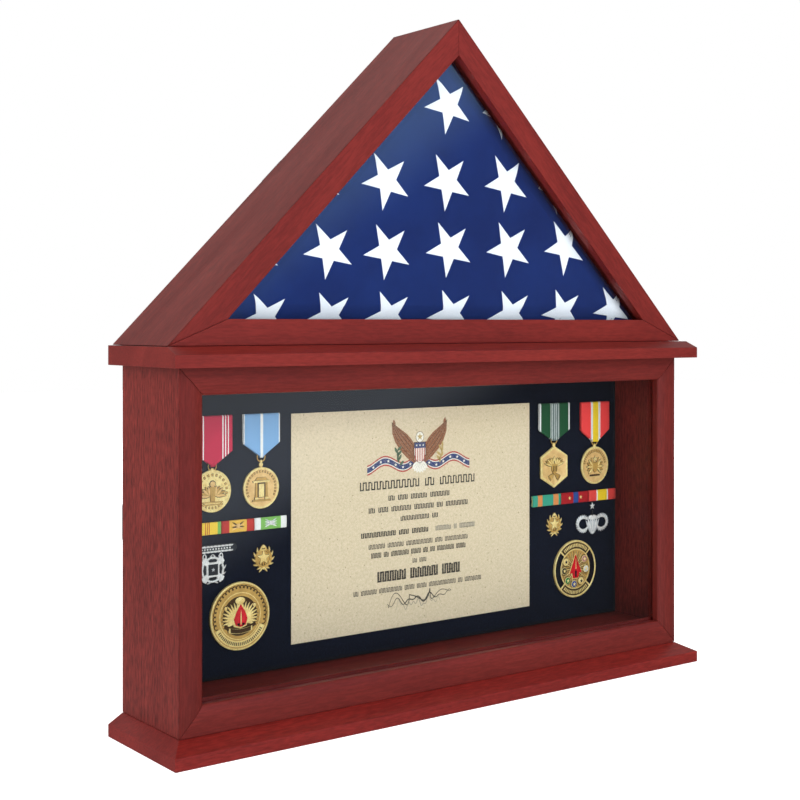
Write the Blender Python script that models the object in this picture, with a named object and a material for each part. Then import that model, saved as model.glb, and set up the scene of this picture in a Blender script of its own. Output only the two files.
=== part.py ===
"""Folded flag display case: a triangular flag case that stands on a shadow box for medals.

Each physical piece is one closed solid in its own object, in metres with +Z up. The case stands on the
XY plane, centred on the Z axis, and its glass faces -Y. In the comments, "depth" runs back from the
front face of the shadow box, and "inset" runs inward from the outside of a frame.
"""

import math

import bmesh
import bpy
from mathutils import Matrix, Vector

# ---- Driving dimensions, in metres ----

GAP = 0.0003  # clearance between pieces that touch
BOARD = 0.013  # thickness of the case boards

BOX_WIDTH = 0.600
BOX_DEPTH = 0.106
FRONT_OVERHANG = 0.020  # plinth and ledge stand this far in front of the box
SIDE_OVERHANG = 0.014

PLINTH_EDGE = 0.011  # height of the plinth's upright edge
PLINTH_HEIGHT = 0.0192
BOX_HEIGHT = 0.3084  # from the plinth to the ledge
FLOOR_THICKNESS = 0.0216
LEDGE_EDGE = 0.0108
LEDGE_HEIGHT = 0.0174
LEDGE_BEVEL = 0.0154  # depth of the bevel along the ledge's front

BOX_RAIL = 0.0235  # face width of the shadow box frame
BOX_BOTTOM_RAIL = 0.025
BOX_LIP = 0.010  # from the frame's face back to the glass
RAIL_DROP = 0.0038  # how far the moulding curves back at its inner edge

FLAG_HALF_WIDTH = 0.310  # the flag case is a 45-45-90 triangle, so this is its height too
FLAG_SETBACK = 0.0015
FLAG_RAKE_RAIL = 0.0244
FLAG_BOTTOM_RAIL = 0.0227
FLAG_LIP = 0.009

GLASS = 0.0025
BEAD_WIDTH = 0.006
BEAD_DEPTH = 0.006

REBATE_WIDTH = 0.005
REBATE_DEPTH = 0.005
PANEL = 0.004
FELT_DEPTH = 0.0735  # depth of the felt's front face
FELT = 0.0015
PAD_SIDE_GAP = 0.0015

BUTTON_LENGTH = 0.036
BUTTON_WIDTH = 0.0076
BUTTON = 0.0014
BUTTON_PIVOT_INSET = 0.004  # from the outside of the board to the screw
SCREW_HEAD_RADIUS = 0.003
SCREW_HEAD = 0.001
SCREW_RADIUS = 0.0012
SCREW_LENGTH = 0.012

CERTIFICATE_CENTRE = (0.0052, 0.1718)
CERTIFICATE_SIZE = (0.299, 0.2159)
CERTIFICATE = 0.0005

RIBBON = 0.0008
RING_RADIUS = 0.0040
RING_WIRE = 0.0007
PENDANT = 0.0024
RING_ABOVE_TIP = 0.0008  # from the ribbon's point up to the middle of the ring
# name: (x, ribbon width, ribbon top, shoulder, tip, height of the pendant's centre, its radius, its sides)
MEDALS = {
    "crimson": (-0.229, 0.040, 0.2815, 0.2490, 0.2350, 0.2135, 0.0190, 32),
    "light_blue": (-0.178, 0.039, 0.2815, 0.2545, 0.2405, 0.2130, 0.0190, 32),
    "green": (0.189, 0.044, 0.2785, 0.2495, 0.2377, 0.2100, 0.0225, 6),
    "red": (0.250, 0.043, 0.2780, 0.2470, 0.2335, 0.2080, 0.0205, 32),
}

# name: (x, height of its centre, width, height)
RIBBON_BARS = {
    "left_ribbon_bar": (-0.2060, 0.1800, 0.1110, 0.0112),
    "right_ribbon_bar": (0.2200, 0.1745, 0.1250, 0.0120),
}
RIBBON_BAR = 0.0026
BADGE = 0.0022
BADGE_RADIUS = 0.0128
GOLD_BADGES = {"left_gold_badge": (-0.1750, 0.1480), "right_gold_badge": (0.1905, 0.1477)}
COIN = 0.0032
COIN_RADIUS = 0.031
COINS = {"left_coin": (-0.2005, 0.0980), "right_coin": (0.2200, 0.0970)}
WINGS_CENTRE = (0.2475, 0.1440)
HANGING_BADGE_CENTRE = (-0.2280, 0.1613)

# ---- Sizes that follow from them ----

HARDWARE_PROUD = GAP + BUTTON + GAP + SCREW_HEAD
FRONT = FRONT_OVERHANG - (FRONT_OVERHANG + BOX_DEPTH + HARDWARE_PROUD) / 2
HALF_BOX = BOX_WIDTH / 2
BOX_BOTTOM = PLINTH_HEIGHT + GAP
LEDGE_BOTTOM = PLINTH_HEIGHT + BOX_HEIGHT
BOX_TOP = LEDGE_BOTTOM - GAP
LEDGE_TOP = LEDGE_BOTTOM + LEDGE_HEIGHT
FLAG_BOTTOM = LEDGE_TOP + GAP
FLAG_DEPTH = BOX_DEPTH - FLAG_SETBACK
MITRE_GAP = GAP * math.sqrt(2)  # a 45 degree joint moved back by this has GAP of clearance

# Frames are outlines in (x, z), anticlockwise from the bottom left as seen from the front.
BOX_OUTLINE = [(-HALF_BOX, BOX_BOTTOM), (HALF_BOX, BOX_BOTTOM), (HALF_BOX, BOX_TOP), (-HALF_BOX, BOX_TOP)]
BOX_SIDES = {"bottom": 0, "right": 1, "top": 2, "left": 3}
FLAG_OUTLINE = [(-FLAG_HALF_WIDTH, FLAG_BOTTOM), (FLAG_HALF_WIDTH, FLAG_BOTTOM),
                (0.0, FLAG_BOTTOM + FLAG_HALF_WIDTH)]
FLAG_SIDES = {"bottom": 0, "right": 1, "left": 2}
BOX_BOARDS = [FLOOR_THICKNESS, BOARD, BOARD, BOARD]
FLAG_BOARDS = [BOARD] * 3
BOX_RAILS = [BOX_BOTTOM_RAIL, BOX_RAIL, BOX_RAIL, BOX_RAIL]
FLAG_RAILS = [FLAG_BOTTOM_RAIL, FLAG_RAKE_RAIL, FLAG_RAKE_RAIL]


# ---- Materials ----

def material(name, colour, roughness, metallic=0.0, transmission=0.0):
    made = bpy.data.materials.new(name)
    made.use_nodes = True
    shader = made.node_tree.nodes["Principled BSDF"]
    shader.inputs["Base Color"].default_value = (*colour, 1.0)
    shader.inputs["Roughness"].default_value = roughness
    shader.inputs["Metallic"].default_value = metallic
    shader.inputs["Transmission Weight"].default_value = transmission
    return made


FINISHES = {
    "cherry": ((0.19, 0.030, 0.024), 0.32, 0.0, 0.0),
    "glass": ((0.96, 0.98, 0.98), 0.02, 0.0, 1.0),
    "hardboard": ((0.23, 0.14, 0.08), 0.75, 0.0, 0.0),
    "foam": ((0.75, 0.74, 0.70), 0.9, 0.0, 0.0),
    "felt": ((0.012, 0.016, 0.025), 0.95, 0.0, 0.0),
    "flag": ((0.018, 0.040, 0.145), 0.8, 0.0, 0.0),
    "parchment": ((0.72, 0.62, 0.44), 0.7, 0.0, 0.0),
    "crimson": ((0.53, 0.055, 0.107), 0.7, 0.0, 0.0),
    "light_blue": ((0.21, 0.43, 0.72), 0.7, 0.0, 0.0),
    "green": ((0.024, 0.105, 0.044), 0.7, 0.0, 0.0),
    "red": ((0.87, 0.070, 0.070), 0.7, 0.0, 0.0),
    "ribbon_bar": ((0.60, 0.15, 0.08), 0.7, 0.0, 0.0),
    "gold": ((0.69, 0.41, 0.084), 0.28, 1.0, 0.0),
    "silver": ((0.66, 0.66, 0.66), 0.28, 1.0, 0.0),
    "zinc": ((0.62, 0.61, 0.58), 0.4, 1.0, 0.0),
}


def finish(obj, kind):
    obj.data.materials.append(material(obj.name, *FINISHES[kind]))
    return obj


# ---- Building blocks ----

def make_object(name, mesh, kind, origin=(0.0, 0.0, 0.0)):
    """An object whose mesh was modelled in place, with its origin moved to the given point."""
    bmesh.ops.recalc_face_normals(mesh, faces=mesh.faces)
    bmesh.ops.translate(mesh, verts=mesh.verts, vec=-Vector(origin))
    data = bpy.data.meshes.new(name)
    mesh.to_mesh(data)
    mesh.free()
    obj = bpy.data.objects.new(name, data)
    bpy.context.scene.collection.objects.link(obj)
    obj.location = origin
    obj.parent = CASE
    return finish(obj, kind)


def loft(loops, closed=False):
    """The solid through loops with the same number of points: capped at both ends, or closed in a ring."""
    mesh = bmesh.new()
    rings = [[mesh.verts.new(point) for point in loop] for loop in loops]
    pairs = list(zip(rings, rings[1:]))
    if closed:
        pairs.append((rings[-1], rings[0]))
    for first, second in pairs:
        for i in range(len(first)):
            j = (i + 1) % len(first)
            mesh.faces.new((first[i], first[j], second[j], second[i]))
    if not closed:
        mesh.faces.new(rings[0])
        mesh.faces.new(rings[-1])
    return mesh


def plate(outline, near, far):
    """The solid between two depths with that outline in (x, z)."""
    return loft([[(x, FRONT + depth, z) for x, z in outline] for depth in (near, far)])


def offset_corner(outline, corner, before, after):
    """An outline's corner, moved inward from the side that ends there and from the one that starts there."""
    here = Vector(outline[corner])
    rows, insets = [], []
    for start, end, inset in ((outline[corner - 1], here, before),
                              (here, outline[(corner + 1) % len(outline)], after)):
        along = (Vector(end) - Vector(start)).normalized()
        inward = Vector((-along.y, along.x))
        rows.append(inward)
        insets.append(inward.dot(here) + inset)
    return Matrix(rows).inverted() @ Vector(insets)


def inset_outline(outline, insets):
    return [offset_corner(outline, i, insets[i - 1], insets[i]) for i in range(len(outline))]


def mitred(outline, widths, side, profile, front=FRONT):
    """One side of a frame, mitred at both ends. The profile is (inset, depth) points, and the widths of
    the sides say where each mitre runs: from the outline's corner to the corner of the frame's opening."""
    count = len(outline)
    following = (side + 1) % count
    along = (Vector(outline[following]) - Vector(outline[side])).normalized()
    loops = []
    for corner, neighbour, inward in ((side, side - 1, along), (following, following, -along)):
        def point(inset):
            other = inset * widths[neighbour] / widths[side]
            insets = (other, inset) if corner == side else (inset, other)
            return offset_corner(outline, corner, *insets)

        mitre = (point(widths[side]) - point(0.0)).normalized()
        clearance = GAP / 2 / abs(mitre.cross(inward))
        loops.append([(point(inset) + inward * clearance).to_3d().xzy + Vector((0, front + depth, 0))
                      for inset, depth in profile])
    return loft(loops)


def pane(outline, insets, near, far, front=FRONT):
    inner = inset_outline(outline, insets)
    return loft([[(x, front + depth, z) for x, z in inner] for depth in (near, far)])


def circle(centre, radius, count, first_angle=math.pi / 2):
    return [(centre[0] + radius * math.cos(first_angle + math.tau * i / count),
             centre[1] + radius * math.sin(first_angle + math.tau * i / count)) for i in range(count)]


def star(centre, outer, inner, points):
    ring = circle(centre, 1.0, 2 * points)
    radii = [outer, inner] * points
    return [(centre[0] + (x - centre[0]) * radius, centre[1] + (z - centre[1]) * radius)
            for (x, z), radius in zip(ring, radii)]


def rectangle(centre, width, height):
    x, z = centre
    return [(x - width / 2, z - height / 2), (x + width / 2, z - height / 2),
            (x + width / 2, z + height / 2), (x - width / 2, z + height / 2)]


def boolean(obj, operation, mesh, name):
    """Keeps a Boolean modifier on the object, with the mesh as its hidden tool."""
    tool = make_object(name, mesh, "zinc")
    tool.hide_render = True
    tool.display_type = "WIRE"
    modifier = obj.modifiers.new(name, "BOOLEAN")
    modifier.operation = operation
    modifier.object = tool
    return obj


def smooth(obj):
    obj.data.shade_smooth()
    obj.data.set_sharp_from_angle(angle=math.radians(35))
    return obj


# ---- Carcass and frames ----

def make_plinth():
    """A slab whose top edge is bevelled back to the box at the front and the sides."""
    half = HALF_BOX + SIDE_OVERHANG
    front, back = FRONT - FRONT_OVERHANG, FRONT + BOX_DEPTH
    foot = [(-half, front), (half, front), (half, back), (-half, back)]
    top = [(-HALF_BOX, FRONT), (HALF_BOX, FRONT), (HALF_BOX, back), (-HALF_BOX, back)]
    loops = [[(x, y, z) for x, y in outline]
             for outline, z in ((foot, 0.0), (foot, PLINTH_EDGE), (top, PLINTH_HEIGHT))]
    make_object("base_plinth", loft(loops), "cherry")


def make_ledge():
    """The shelf between the two cases, bevelled along its front only."""
    half = HALF_BOX + SIDE_OVERHANG
    front, back = FRONT - FRONT_OVERHANG, FRONT + BOX_DEPTH
    profile = [(front, LEDGE_BOTTOM), (front, LEDGE_BOTTOM + LEDGE_EDGE), (front + LEDGE_BEVEL, LEDGE_TOP),
               (back, LEDGE_TOP), (back, LEDGE_BOTTOM)]
    make_object("middle_ledge", loft([[(x, y, z) for y, z in profile] for x in (-half, half)]), "cherry")


def board_profile(thickness, depth, lip):
    """A board with a mitred front edge and a rebate at the back. A board thicker than the mitre is
    cut square behind the frame's lip."""
    mitre = min(thickness, BOARD)
    front = [(0.0, MITRE_GAP), (mitre, mitre + MITRE_GAP)]
    if thickness > BOARD:
        front = [(0.0, MITRE_GAP), (lip, lip + MITRE_GAP), (thickness, lip + MITRE_GAP)]
    return front + [(thickness, depth - REBATE_DEPTH), (thickness - REBATE_WIDTH, depth - REBATE_DEPTH),
                    (thickness - REBATE_WIDTH, depth), (0.0, depth)]


def moulding_profile(width):
    """The shadow box frame: flat at its outer edge, curving back towards the glass."""
    flat, steps = 0.48 * width, 5
    curve = [(flat + (width - flat) * math.sin(math.pi / 2 * i / steps),
              RAIL_DROP * (1 - math.cos(math.pi / 2 * i / steps))) for i in range(steps + 1)]
    return [(0.0, 0.0)] + curve + [(width, BOX_LIP), (BOX_LIP, BOX_LIP)]


def flat_profile(width):
    return [(0.0, 0.0), (width, 0.0), (width, FLAG_LIP), (FLAG_LIP, FLAG_LIP)]


def make_shadow_box():
    names = {"bottom": "box_bottom_board", "right": "box_right_side", "top": "box_top_board", "left": "box_left_side"}
    boards = {}
    for side, index in BOX_SIDES.items():
        profile = board_profile(BOX_BOARDS[index], BOX_DEPTH, BOX_LIP)
        boards[side] = make_object(names[side], mitred(BOX_OUTLINE, BOX_BOARDS, index, profile), "cherry")
    rails = {"bottom": "bottom_rail", "right": "right_stile", "top": "top_rail", "left": "left_stile"}
    for side, index in BOX_SIDES.items():
        mesh = mitred(BOX_OUTLINE, BOX_RAILS, index, moulding_profile(BOX_RAILS[index]))
        make_object("lower_frame_" + rails[side], mesh, "cherry")
    inside = [thickness + GAP for thickness in BOX_BOARDS]
    glass_front = BOX_LIP + GAP
    make_object("lower_glass", pane(BOX_OUTLINE, inside, glass_front, glass_front + GLASS), "glass")
    bead_outline = inset_outline(BOX_OUTLINE, inside)
    near = glass_front + GLASS + GAP
    bead = [(0.0, near), (BEAD_WIDTH, near), (BEAD_WIDTH / 2, near + BEAD_DEPTH), (0.0, near + BEAD_DEPTH)]
    for side, index in BOX_SIDES.items():
        make_object("lower_bead_" + side, mitred(bead_outline, [BEAD_WIDTH] * 4, index, bead), "cherry")
    return boards


def make_flag_case():
    front = FRONT + FLAG_SETBACK
    names = {"bottom": "flag_case_bottom_board", "right": "flag_case_right_side", "left": "flag_case_left_side"}
    boards = {}
    for side, index in FLAG_SIDES.items():
        profile = board_profile(BOARD, FLAG_DEPTH, FLAG_LIP)
        boards[side] = make_object(names[side], mitred(FLAG_OUTLINE, FLAG_BOARDS, index, profile, front), "cherry")
        rail = mitred(FLAG_OUTLINE, FLAG_RAILS, index, flat_profile(FLAG_RAILS[index]), front)
        make_object(f"flag_frame_{side}_rail", rail, "cherry")
    inside = [BOARD + GAP] * 3
    glass_front = FLAG_LIP + GAP
    glass_back = glass_front + GLASS
    make_object("flag_glass", pane(FLAG_OUTLINE, inside, glass_front, glass_back, front), "glass")
    near, far = glass_back + GAP, glass_back + GAP + BEAD_DEPTH / 2
    corners = []
    for inset, depth in ((0.0, near), (BEAD_WIDTH, near), (BEAD_WIDTH, far), (0.0, far)):
        outline = inset_outline(FLAG_OUTLINE, [BOARD + GAP + inset] * 3)
        corners.append([(x, front + depth, z) for x, z in outline])
    make_object("flag_glass_retainer", loft(corners, closed=True), "cherry")
    return boards


def make_folded_flag():
    """The folded bundle: a triangular cushion, fullest in the middle of its front."""
    front = FRONT + FLAG_SETBACK
    sections = ((0.0190, 0.0985), (0.0145, 0.0940), (0.0140, 0.0320), (0.0170, 0.0240), (0.0240, 0.0190),
                (0.0360, 0.0158), (0.0600, 0.0135))
    loops = []
    for inset, depth in sections:
        loops.append([(x, front + depth, z) for x, z in inset_outline(FLAG_OUTLINE, [inset] * 3)])
    make_object("folded_flag", loft(loops), "flag")


# ---- Backs and their turn buttons ----

def make_back_panels():
    near = BOX_DEPTH - REBATE_DEPTH + GAP
    insets = [thickness - REBATE_WIDTH + GAP for thickness in BOX_BOARDS]
    centre = (0.0, FRONT + near, (BOX_BOTTOM + BOX_TOP) / 2)
    make_object("lower_back_panel", pane(BOX_OUTLINE, insets, near, near + PANEL), "hardboard", centre)
    insets = [BOARD - REBATE_WIDTH + GAP] * 3
    centre = (0.0, FRONT + near, FLAG_BOTTOM + FLAG_HALF_WIDTH / 3)
    make_object("flag_back_panel", pane(FLAG_OUTLINE, insets, near, near + PANEL), "hardboard", centre)


def turn_button_outline():
    """A bar with round ends that lies along +Z from its screw, which is near its lower end."""
    radius, steps = BUTTON_WIDTH / 2, 6
    top = BUTTON_LENGTH - 2 * radius
    upper = [(radius * math.cos(math.pi * i / steps), top + radius * math.sin(math.pi * i / steps))
             for i in range(steps + 1)]
    lower = [(-radius * math.cos(math.pi * i / steps), -radius * math.sin(math.pi * i / steps))
             for i in range(steps + 1)]
    return upper + lower


def along_y(outline, near, far):
    return loft([[(x, y, z) for x, z in outline] for y in (near, far)])


def make_screw(name, pivot):
    """A pan-head screw along the Y axis, with its shank in the board."""
    profile = [(0.55 * SCREW_HEAD_RADIUS, 1.0), (0.9 * SCREW_HEAD_RADIUS, 0.65), (SCREW_HEAD_RADIUS, 0.0)]
    loops = [[(x, SCREW_HEAD * height, z) for x, z in circle((0, 0), radius, 12)] for radius, height in profile]
    for radius, y in ((SCREW_RADIUS, 0.0), (SCREW_RADIUS, 1.5 * SCREW_RADIUS - SCREW_LENGTH),
                      (SCREW_RADIUS / 4, -SCREW_LENGTH)):
        loops.append([(x, y, z) for x, z in circle((0, 0), radius, 12)])
    head = pivot + Vector((0, 2 * GAP + BUTTON, 0))
    screw = smooth(make_object(name, loft(loops), "zinc"))
    screw.location = head


def make_turn_button(name, board, pivot, tilt):
    """A turn button with its screw, and the pilot hole in its board. It is stored open, along the board."""
    bar = along_y(turn_button_outline(), GAP, GAP + BUTTON)
    button = make_object(name, bar, "zinc")
    button.location = pivot
    button.rotation_euler = (0, tilt, 0)
    hole_radius = SCREW_RADIUS + GAP
    bore = along_y(circle((0, 0), hole_radius, 12), -GAP, GAP + 2 * BUTTON)
    hole = boolean(button, "DIFFERENCE", bore, name + "_hole").modifiers[-1].object
    hole.location = pivot
    pilot = along_y(circle((0, 0), hole_radius, 12), -SCREW_LENGTH - GAP, BUTTON)
    pilot_hole = boolean(board, "DIFFERENCE", pilot, name + "_pilot_hole").modifiers[-1].object
    pilot_hole.location = pivot
    make_screw(name + "_screw", pivot)


def make_turn_buttons(box_boards, flag_boards):
    back = FRONT + BOX_DEPTH
    across = math.pi / 2
    middle = (BOX_BOTTOM + BOX_TOP) / 2
    side_x = HALF_BOX - BUTTON_PIVOT_INSET
    floor_z = BOX_BOTTOM + FLOOR_THICKNESS - BOARD + BUTTON_PIVOT_INSET
    shadow_box = {
        "left": (Vector((-side_x, back, middle)), 0.0),
        "right": (Vector((side_x, back, middle)), 0.0),
        "top": (Vector((0.0, back, BOX_TOP - BUTTON_PIVOT_INSET)), across),
        "bottom": (Vector((0.0, back, floor_z)), across),
    }
    for side, (pivot, tilt) in shadow_box.items():
        make_turn_button("box_button_" + side, box_boards[side], pivot, tilt)
    rake = FLAG_HALF_WIDTH / 2 - BUTTON_PIVOT_INSET / math.sqrt(2)
    flag_case = {
        "left": (Vector((-rake, back, FLAG_BOTTOM + rake)), math.pi / 4),
        "right": (Vector((rake, back, FLAG_BOTTOM + rake)), -math.pi / 4),
        "bottom": (Vector((0.0, back, FLAG_BOTTOM + BUTTON_PIVOT_INSET)), across),
    }
    for side, (pivot, tilt) in flag_case.items():
        make_turn_button("flag_button_" + side, flag_boards[side], pivot, tilt)


# ---- What the shadow box shows ----

def make_backing():
    """The foam pad on the back panel, and the felt that faces it."""
    insets = [thickness + PAD_SIDE_GAP for thickness in BOX_BOARDS]
    pad_front = FELT_DEPTH + FELT + GAP
    pad_back = BOX_DEPTH - REBATE_DEPTH
    make_object("medal_pad", pane(BOX_OUTLINE, insets, pad_front, pad_back), "foam")
    make_object("felt_cover", pane(BOX_OUTLINE, insets, FELT_DEPTH, FELT_DEPTH + FELT), "felt")


def on_felt(name, outline, thickness, kind):
    """A flat piece that lies on the felt."""
    return make_object(name, plate(outline, FELT_DEPTH - GAP - thickness, FELT_DEPTH - GAP), kind)


def make_medal(name, x, width, top, shoulder, tip, pendant_height, radius, sides):
    """A ribbon folded through the ring of its pendant, which swings about the middle of the ring."""
    half = width / 2
    ring_height = tip + RING_ABOVE_TIP
    middle = FELT_DEPTH - GAP - PENDANT / 2 - 2 * GAP
    face = middle - RING_WIRE - GAP - RIBBON
    back = middle + RING_WIRE + GAP
    pointed = [(x, tip), (x + half, shoulder), (x + half, top), (x - half, top), (x - half, shoulder)]
    ribbon = make_object(name + "_ribbon", plate(pointed, face, face + RIBBON), name)
    boolean(ribbon, "UNION", plate(pointed, back, back + RIBBON / 2), name + "_ribbon_back")
    fold = rectangle((x, top - 0.002), width, 0.004)
    boolean(ribbon, "UNION", plate(fold, face + RIBBON / 2, back + RIBBON / 4), name + "_ribbon_top_fold")
    loop = rectangle((x, ring_height + 0.0006), 0.0028, 0.0022)
    boolean(ribbon, "UNION", plate(loop, face + RIBBON / 2, back + RIBBON / 4), name + "_ribbon_loop")

    centre = Vector((x, FRONT + middle, ring_height))
    outline = circle((x, pendant_height), radius, sides)
    body = plate(outline, middle - PENDANT / 2, middle + PENDANT / 2)
    pendant = make_object(name + "_pendant", body, "gold", centre)
    neck_top = ring_height - RING_RADIUS
    neck_bottom = pendant_height + radius - 0.0015
    neck = rectangle((x, (neck_top + neck_bottom) / 2), 0.003, neck_top - neck_bottom)
    boolean(pendant, "UNION", plate(neck, middle - RING_WIRE, middle + RING_WIRE), name + "_neck")
    boolean(pendant, "UNION", make_ring(centre), name + "_ring")
    smooth(pendant)


def make_ring(centre):
    """A wire ring about the Y axis."""
    loops = []
    for i in range(20):
        around = Matrix.Rotation(math.tau * i / 20, 4, "Y")
        wire = circle((RING_RADIUS, 0.0), RING_WIRE, 8)
        loops.append([centre + around @ Vector((out, side, 0.0)) for out, side in wire])
    return loft(loops, closed=True)


def make_wings():
    """A pair of wings with a star above them, on one backing."""
    x, z = WINGS_CENTRE
    right = [(0.0, -0.0115), (0.0060, -0.0085), (0.0140, -0.0035), (0.0215, 0.0025), (0.0270, 0.0095),
             (0.0160, 0.0075), (0.0060, 0.0050), (0.0016, 0.0065)]
    left = [(-dx, dz) for dx, dz in reversed(right[1:])]
    outline = [(x + dx, z + dz) for dx, dz in right + left]
    wings = on_felt("silver_wings_badge", outline, BADGE, "silver")
    far = FELT_DEPTH - GAP
    stem = rectangle((x, z + 0.0120), 0.0022, 0.0130)
    boolean(wings, "UNION", plate(stem, far - 0.7 * BADGE, far - 0.3 * BADGE), "wings_stem")
    top_star = star((x, z + 0.0190), 0.0042, 0.0019, 5)
    boolean(wings, "UNION", plate(top_star, far - 0.9 * BADGE, far - 0.1 * BADGE), "wings_star")


def make_hanging_badge():
    """A bar with a cross-shaped badge hung under it."""
    x, z = HANGING_BADGE_CENTRE
    badge = on_felt("silver_hanging_badge", rectangle((x, z), 0.050, 0.0096), BADGE, "silver")
    far = FELT_DEPTH - GAP
    drop = z - 0.0185
    links = rectangle((x, z - 0.0065), 0.012, 0.006)
    boolean(badge, "UNION", plate(links, far - 0.7 * BADGE, far - 0.3 * BADGE), "hanging_links")
    arms = star((x, drop), 0.0145, 0.0075, 8)
    boolean(badge, "UNION", plate(arms, far - 0.9 * BADGE, far - 0.1 * BADGE), "hanging_cross")


def make_display():
    make_backing()
    paper = rectangle(CERTIFICATE_CENTRE, *CERTIFICATE_SIZE)
    on_felt("certificate", paper, CERTIFICATE, "parchment")
    for name, sizes in MEDALS.items():
        make_medal(name, *sizes)
    for name, (x, z, width, height) in RIBBON_BARS.items():
        on_felt(name, rectangle((x, z), width, height), RIBBON_BAR, "ribbon_bar")
    for name, centre in GOLD_BADGES.items():
        on_felt(name, star(centre, BADGE_RADIUS, 0.82 * BADGE_RADIUS, 12), BADGE, "gold")
    for name, centre in COINS.items():
        smooth(on_felt(name, circle(centre, COIN_RADIUS, 48), COIN, "gold"))
    make_wings()
    make_hanging_badge()


def clear_scene():
    for obj in list(bpy.data.objects):
        bpy.data.objects.remove(obj, do_unlink=True)


clear_scene()
CASE = bpy.data.objects.new("display_case", None)
bpy.context.scene.collection.objects.link(CASE)
make_plinth()
BOX_BOARD_OBJECTS = make_shadow_box()
make_ledge()
FLAG_BOARD_OBJECTS = make_flag_case()
make_folded_flag()
make_back_panels()
make_turn_buttons(BOX_BOARD_OBJECTS, FLAG_BOARD_OBJECTS)
make_display()
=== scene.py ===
"""The looks of the folded flag display case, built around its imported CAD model.

The case faces -Y. Pieces take their places from the CAD nodes' boxes, and each rides on the body of the node
that it stands for. Units are metres, except in Cast, where they are millimetres.
"""
import math
import random

import bmesh
import bpy
import numpy as np
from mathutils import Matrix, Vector


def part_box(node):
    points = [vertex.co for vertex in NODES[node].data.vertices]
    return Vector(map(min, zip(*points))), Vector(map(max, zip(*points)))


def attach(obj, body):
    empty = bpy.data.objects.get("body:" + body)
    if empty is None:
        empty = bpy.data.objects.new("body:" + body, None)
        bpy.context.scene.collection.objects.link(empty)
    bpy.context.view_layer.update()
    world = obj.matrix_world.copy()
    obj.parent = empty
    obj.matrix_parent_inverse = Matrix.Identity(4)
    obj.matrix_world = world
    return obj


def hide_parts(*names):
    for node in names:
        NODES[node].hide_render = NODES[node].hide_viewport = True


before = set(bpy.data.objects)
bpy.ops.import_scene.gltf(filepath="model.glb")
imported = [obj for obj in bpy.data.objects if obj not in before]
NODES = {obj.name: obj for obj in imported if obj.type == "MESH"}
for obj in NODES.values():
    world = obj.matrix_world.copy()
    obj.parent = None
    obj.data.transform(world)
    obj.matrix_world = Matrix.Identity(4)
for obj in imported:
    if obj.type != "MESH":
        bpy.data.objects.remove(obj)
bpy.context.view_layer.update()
CASE, BACK = "case", "shadow_box_back"
PI, TAU = math.pi, math.tau
SIDES = (-1, 1)

# The flag case is a right-angled triangle standing on the middle ledge.
FLAG_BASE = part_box("middle_ledge")[1].z + 0.0003
FLAG_HALF = 0.310
FLAG_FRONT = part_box("flag_frame_bottom_rail")[0].y


# ---- Shader building ----

def linear(colour):
    """A linear colour from an sRGB hex triplet. A colour that is linear already stays as it is."""
    if not isinstance(colour, str):
        return colour
    values = [int(colour[i:i + 2], 16) / 255 for i in (0, 2, 4)]
    return tuple(v / 12.92 if v <= 0.04045 else ((v + 0.055) / 1.055) ** 2.4 for v in values)


def scaled(colour, *shares):
    """The colour with each channel multiplied, by one share or by three."""
    return tuple(v * k for v, k in zip(linear(colour), shares * (3 // len(shares))))


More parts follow.
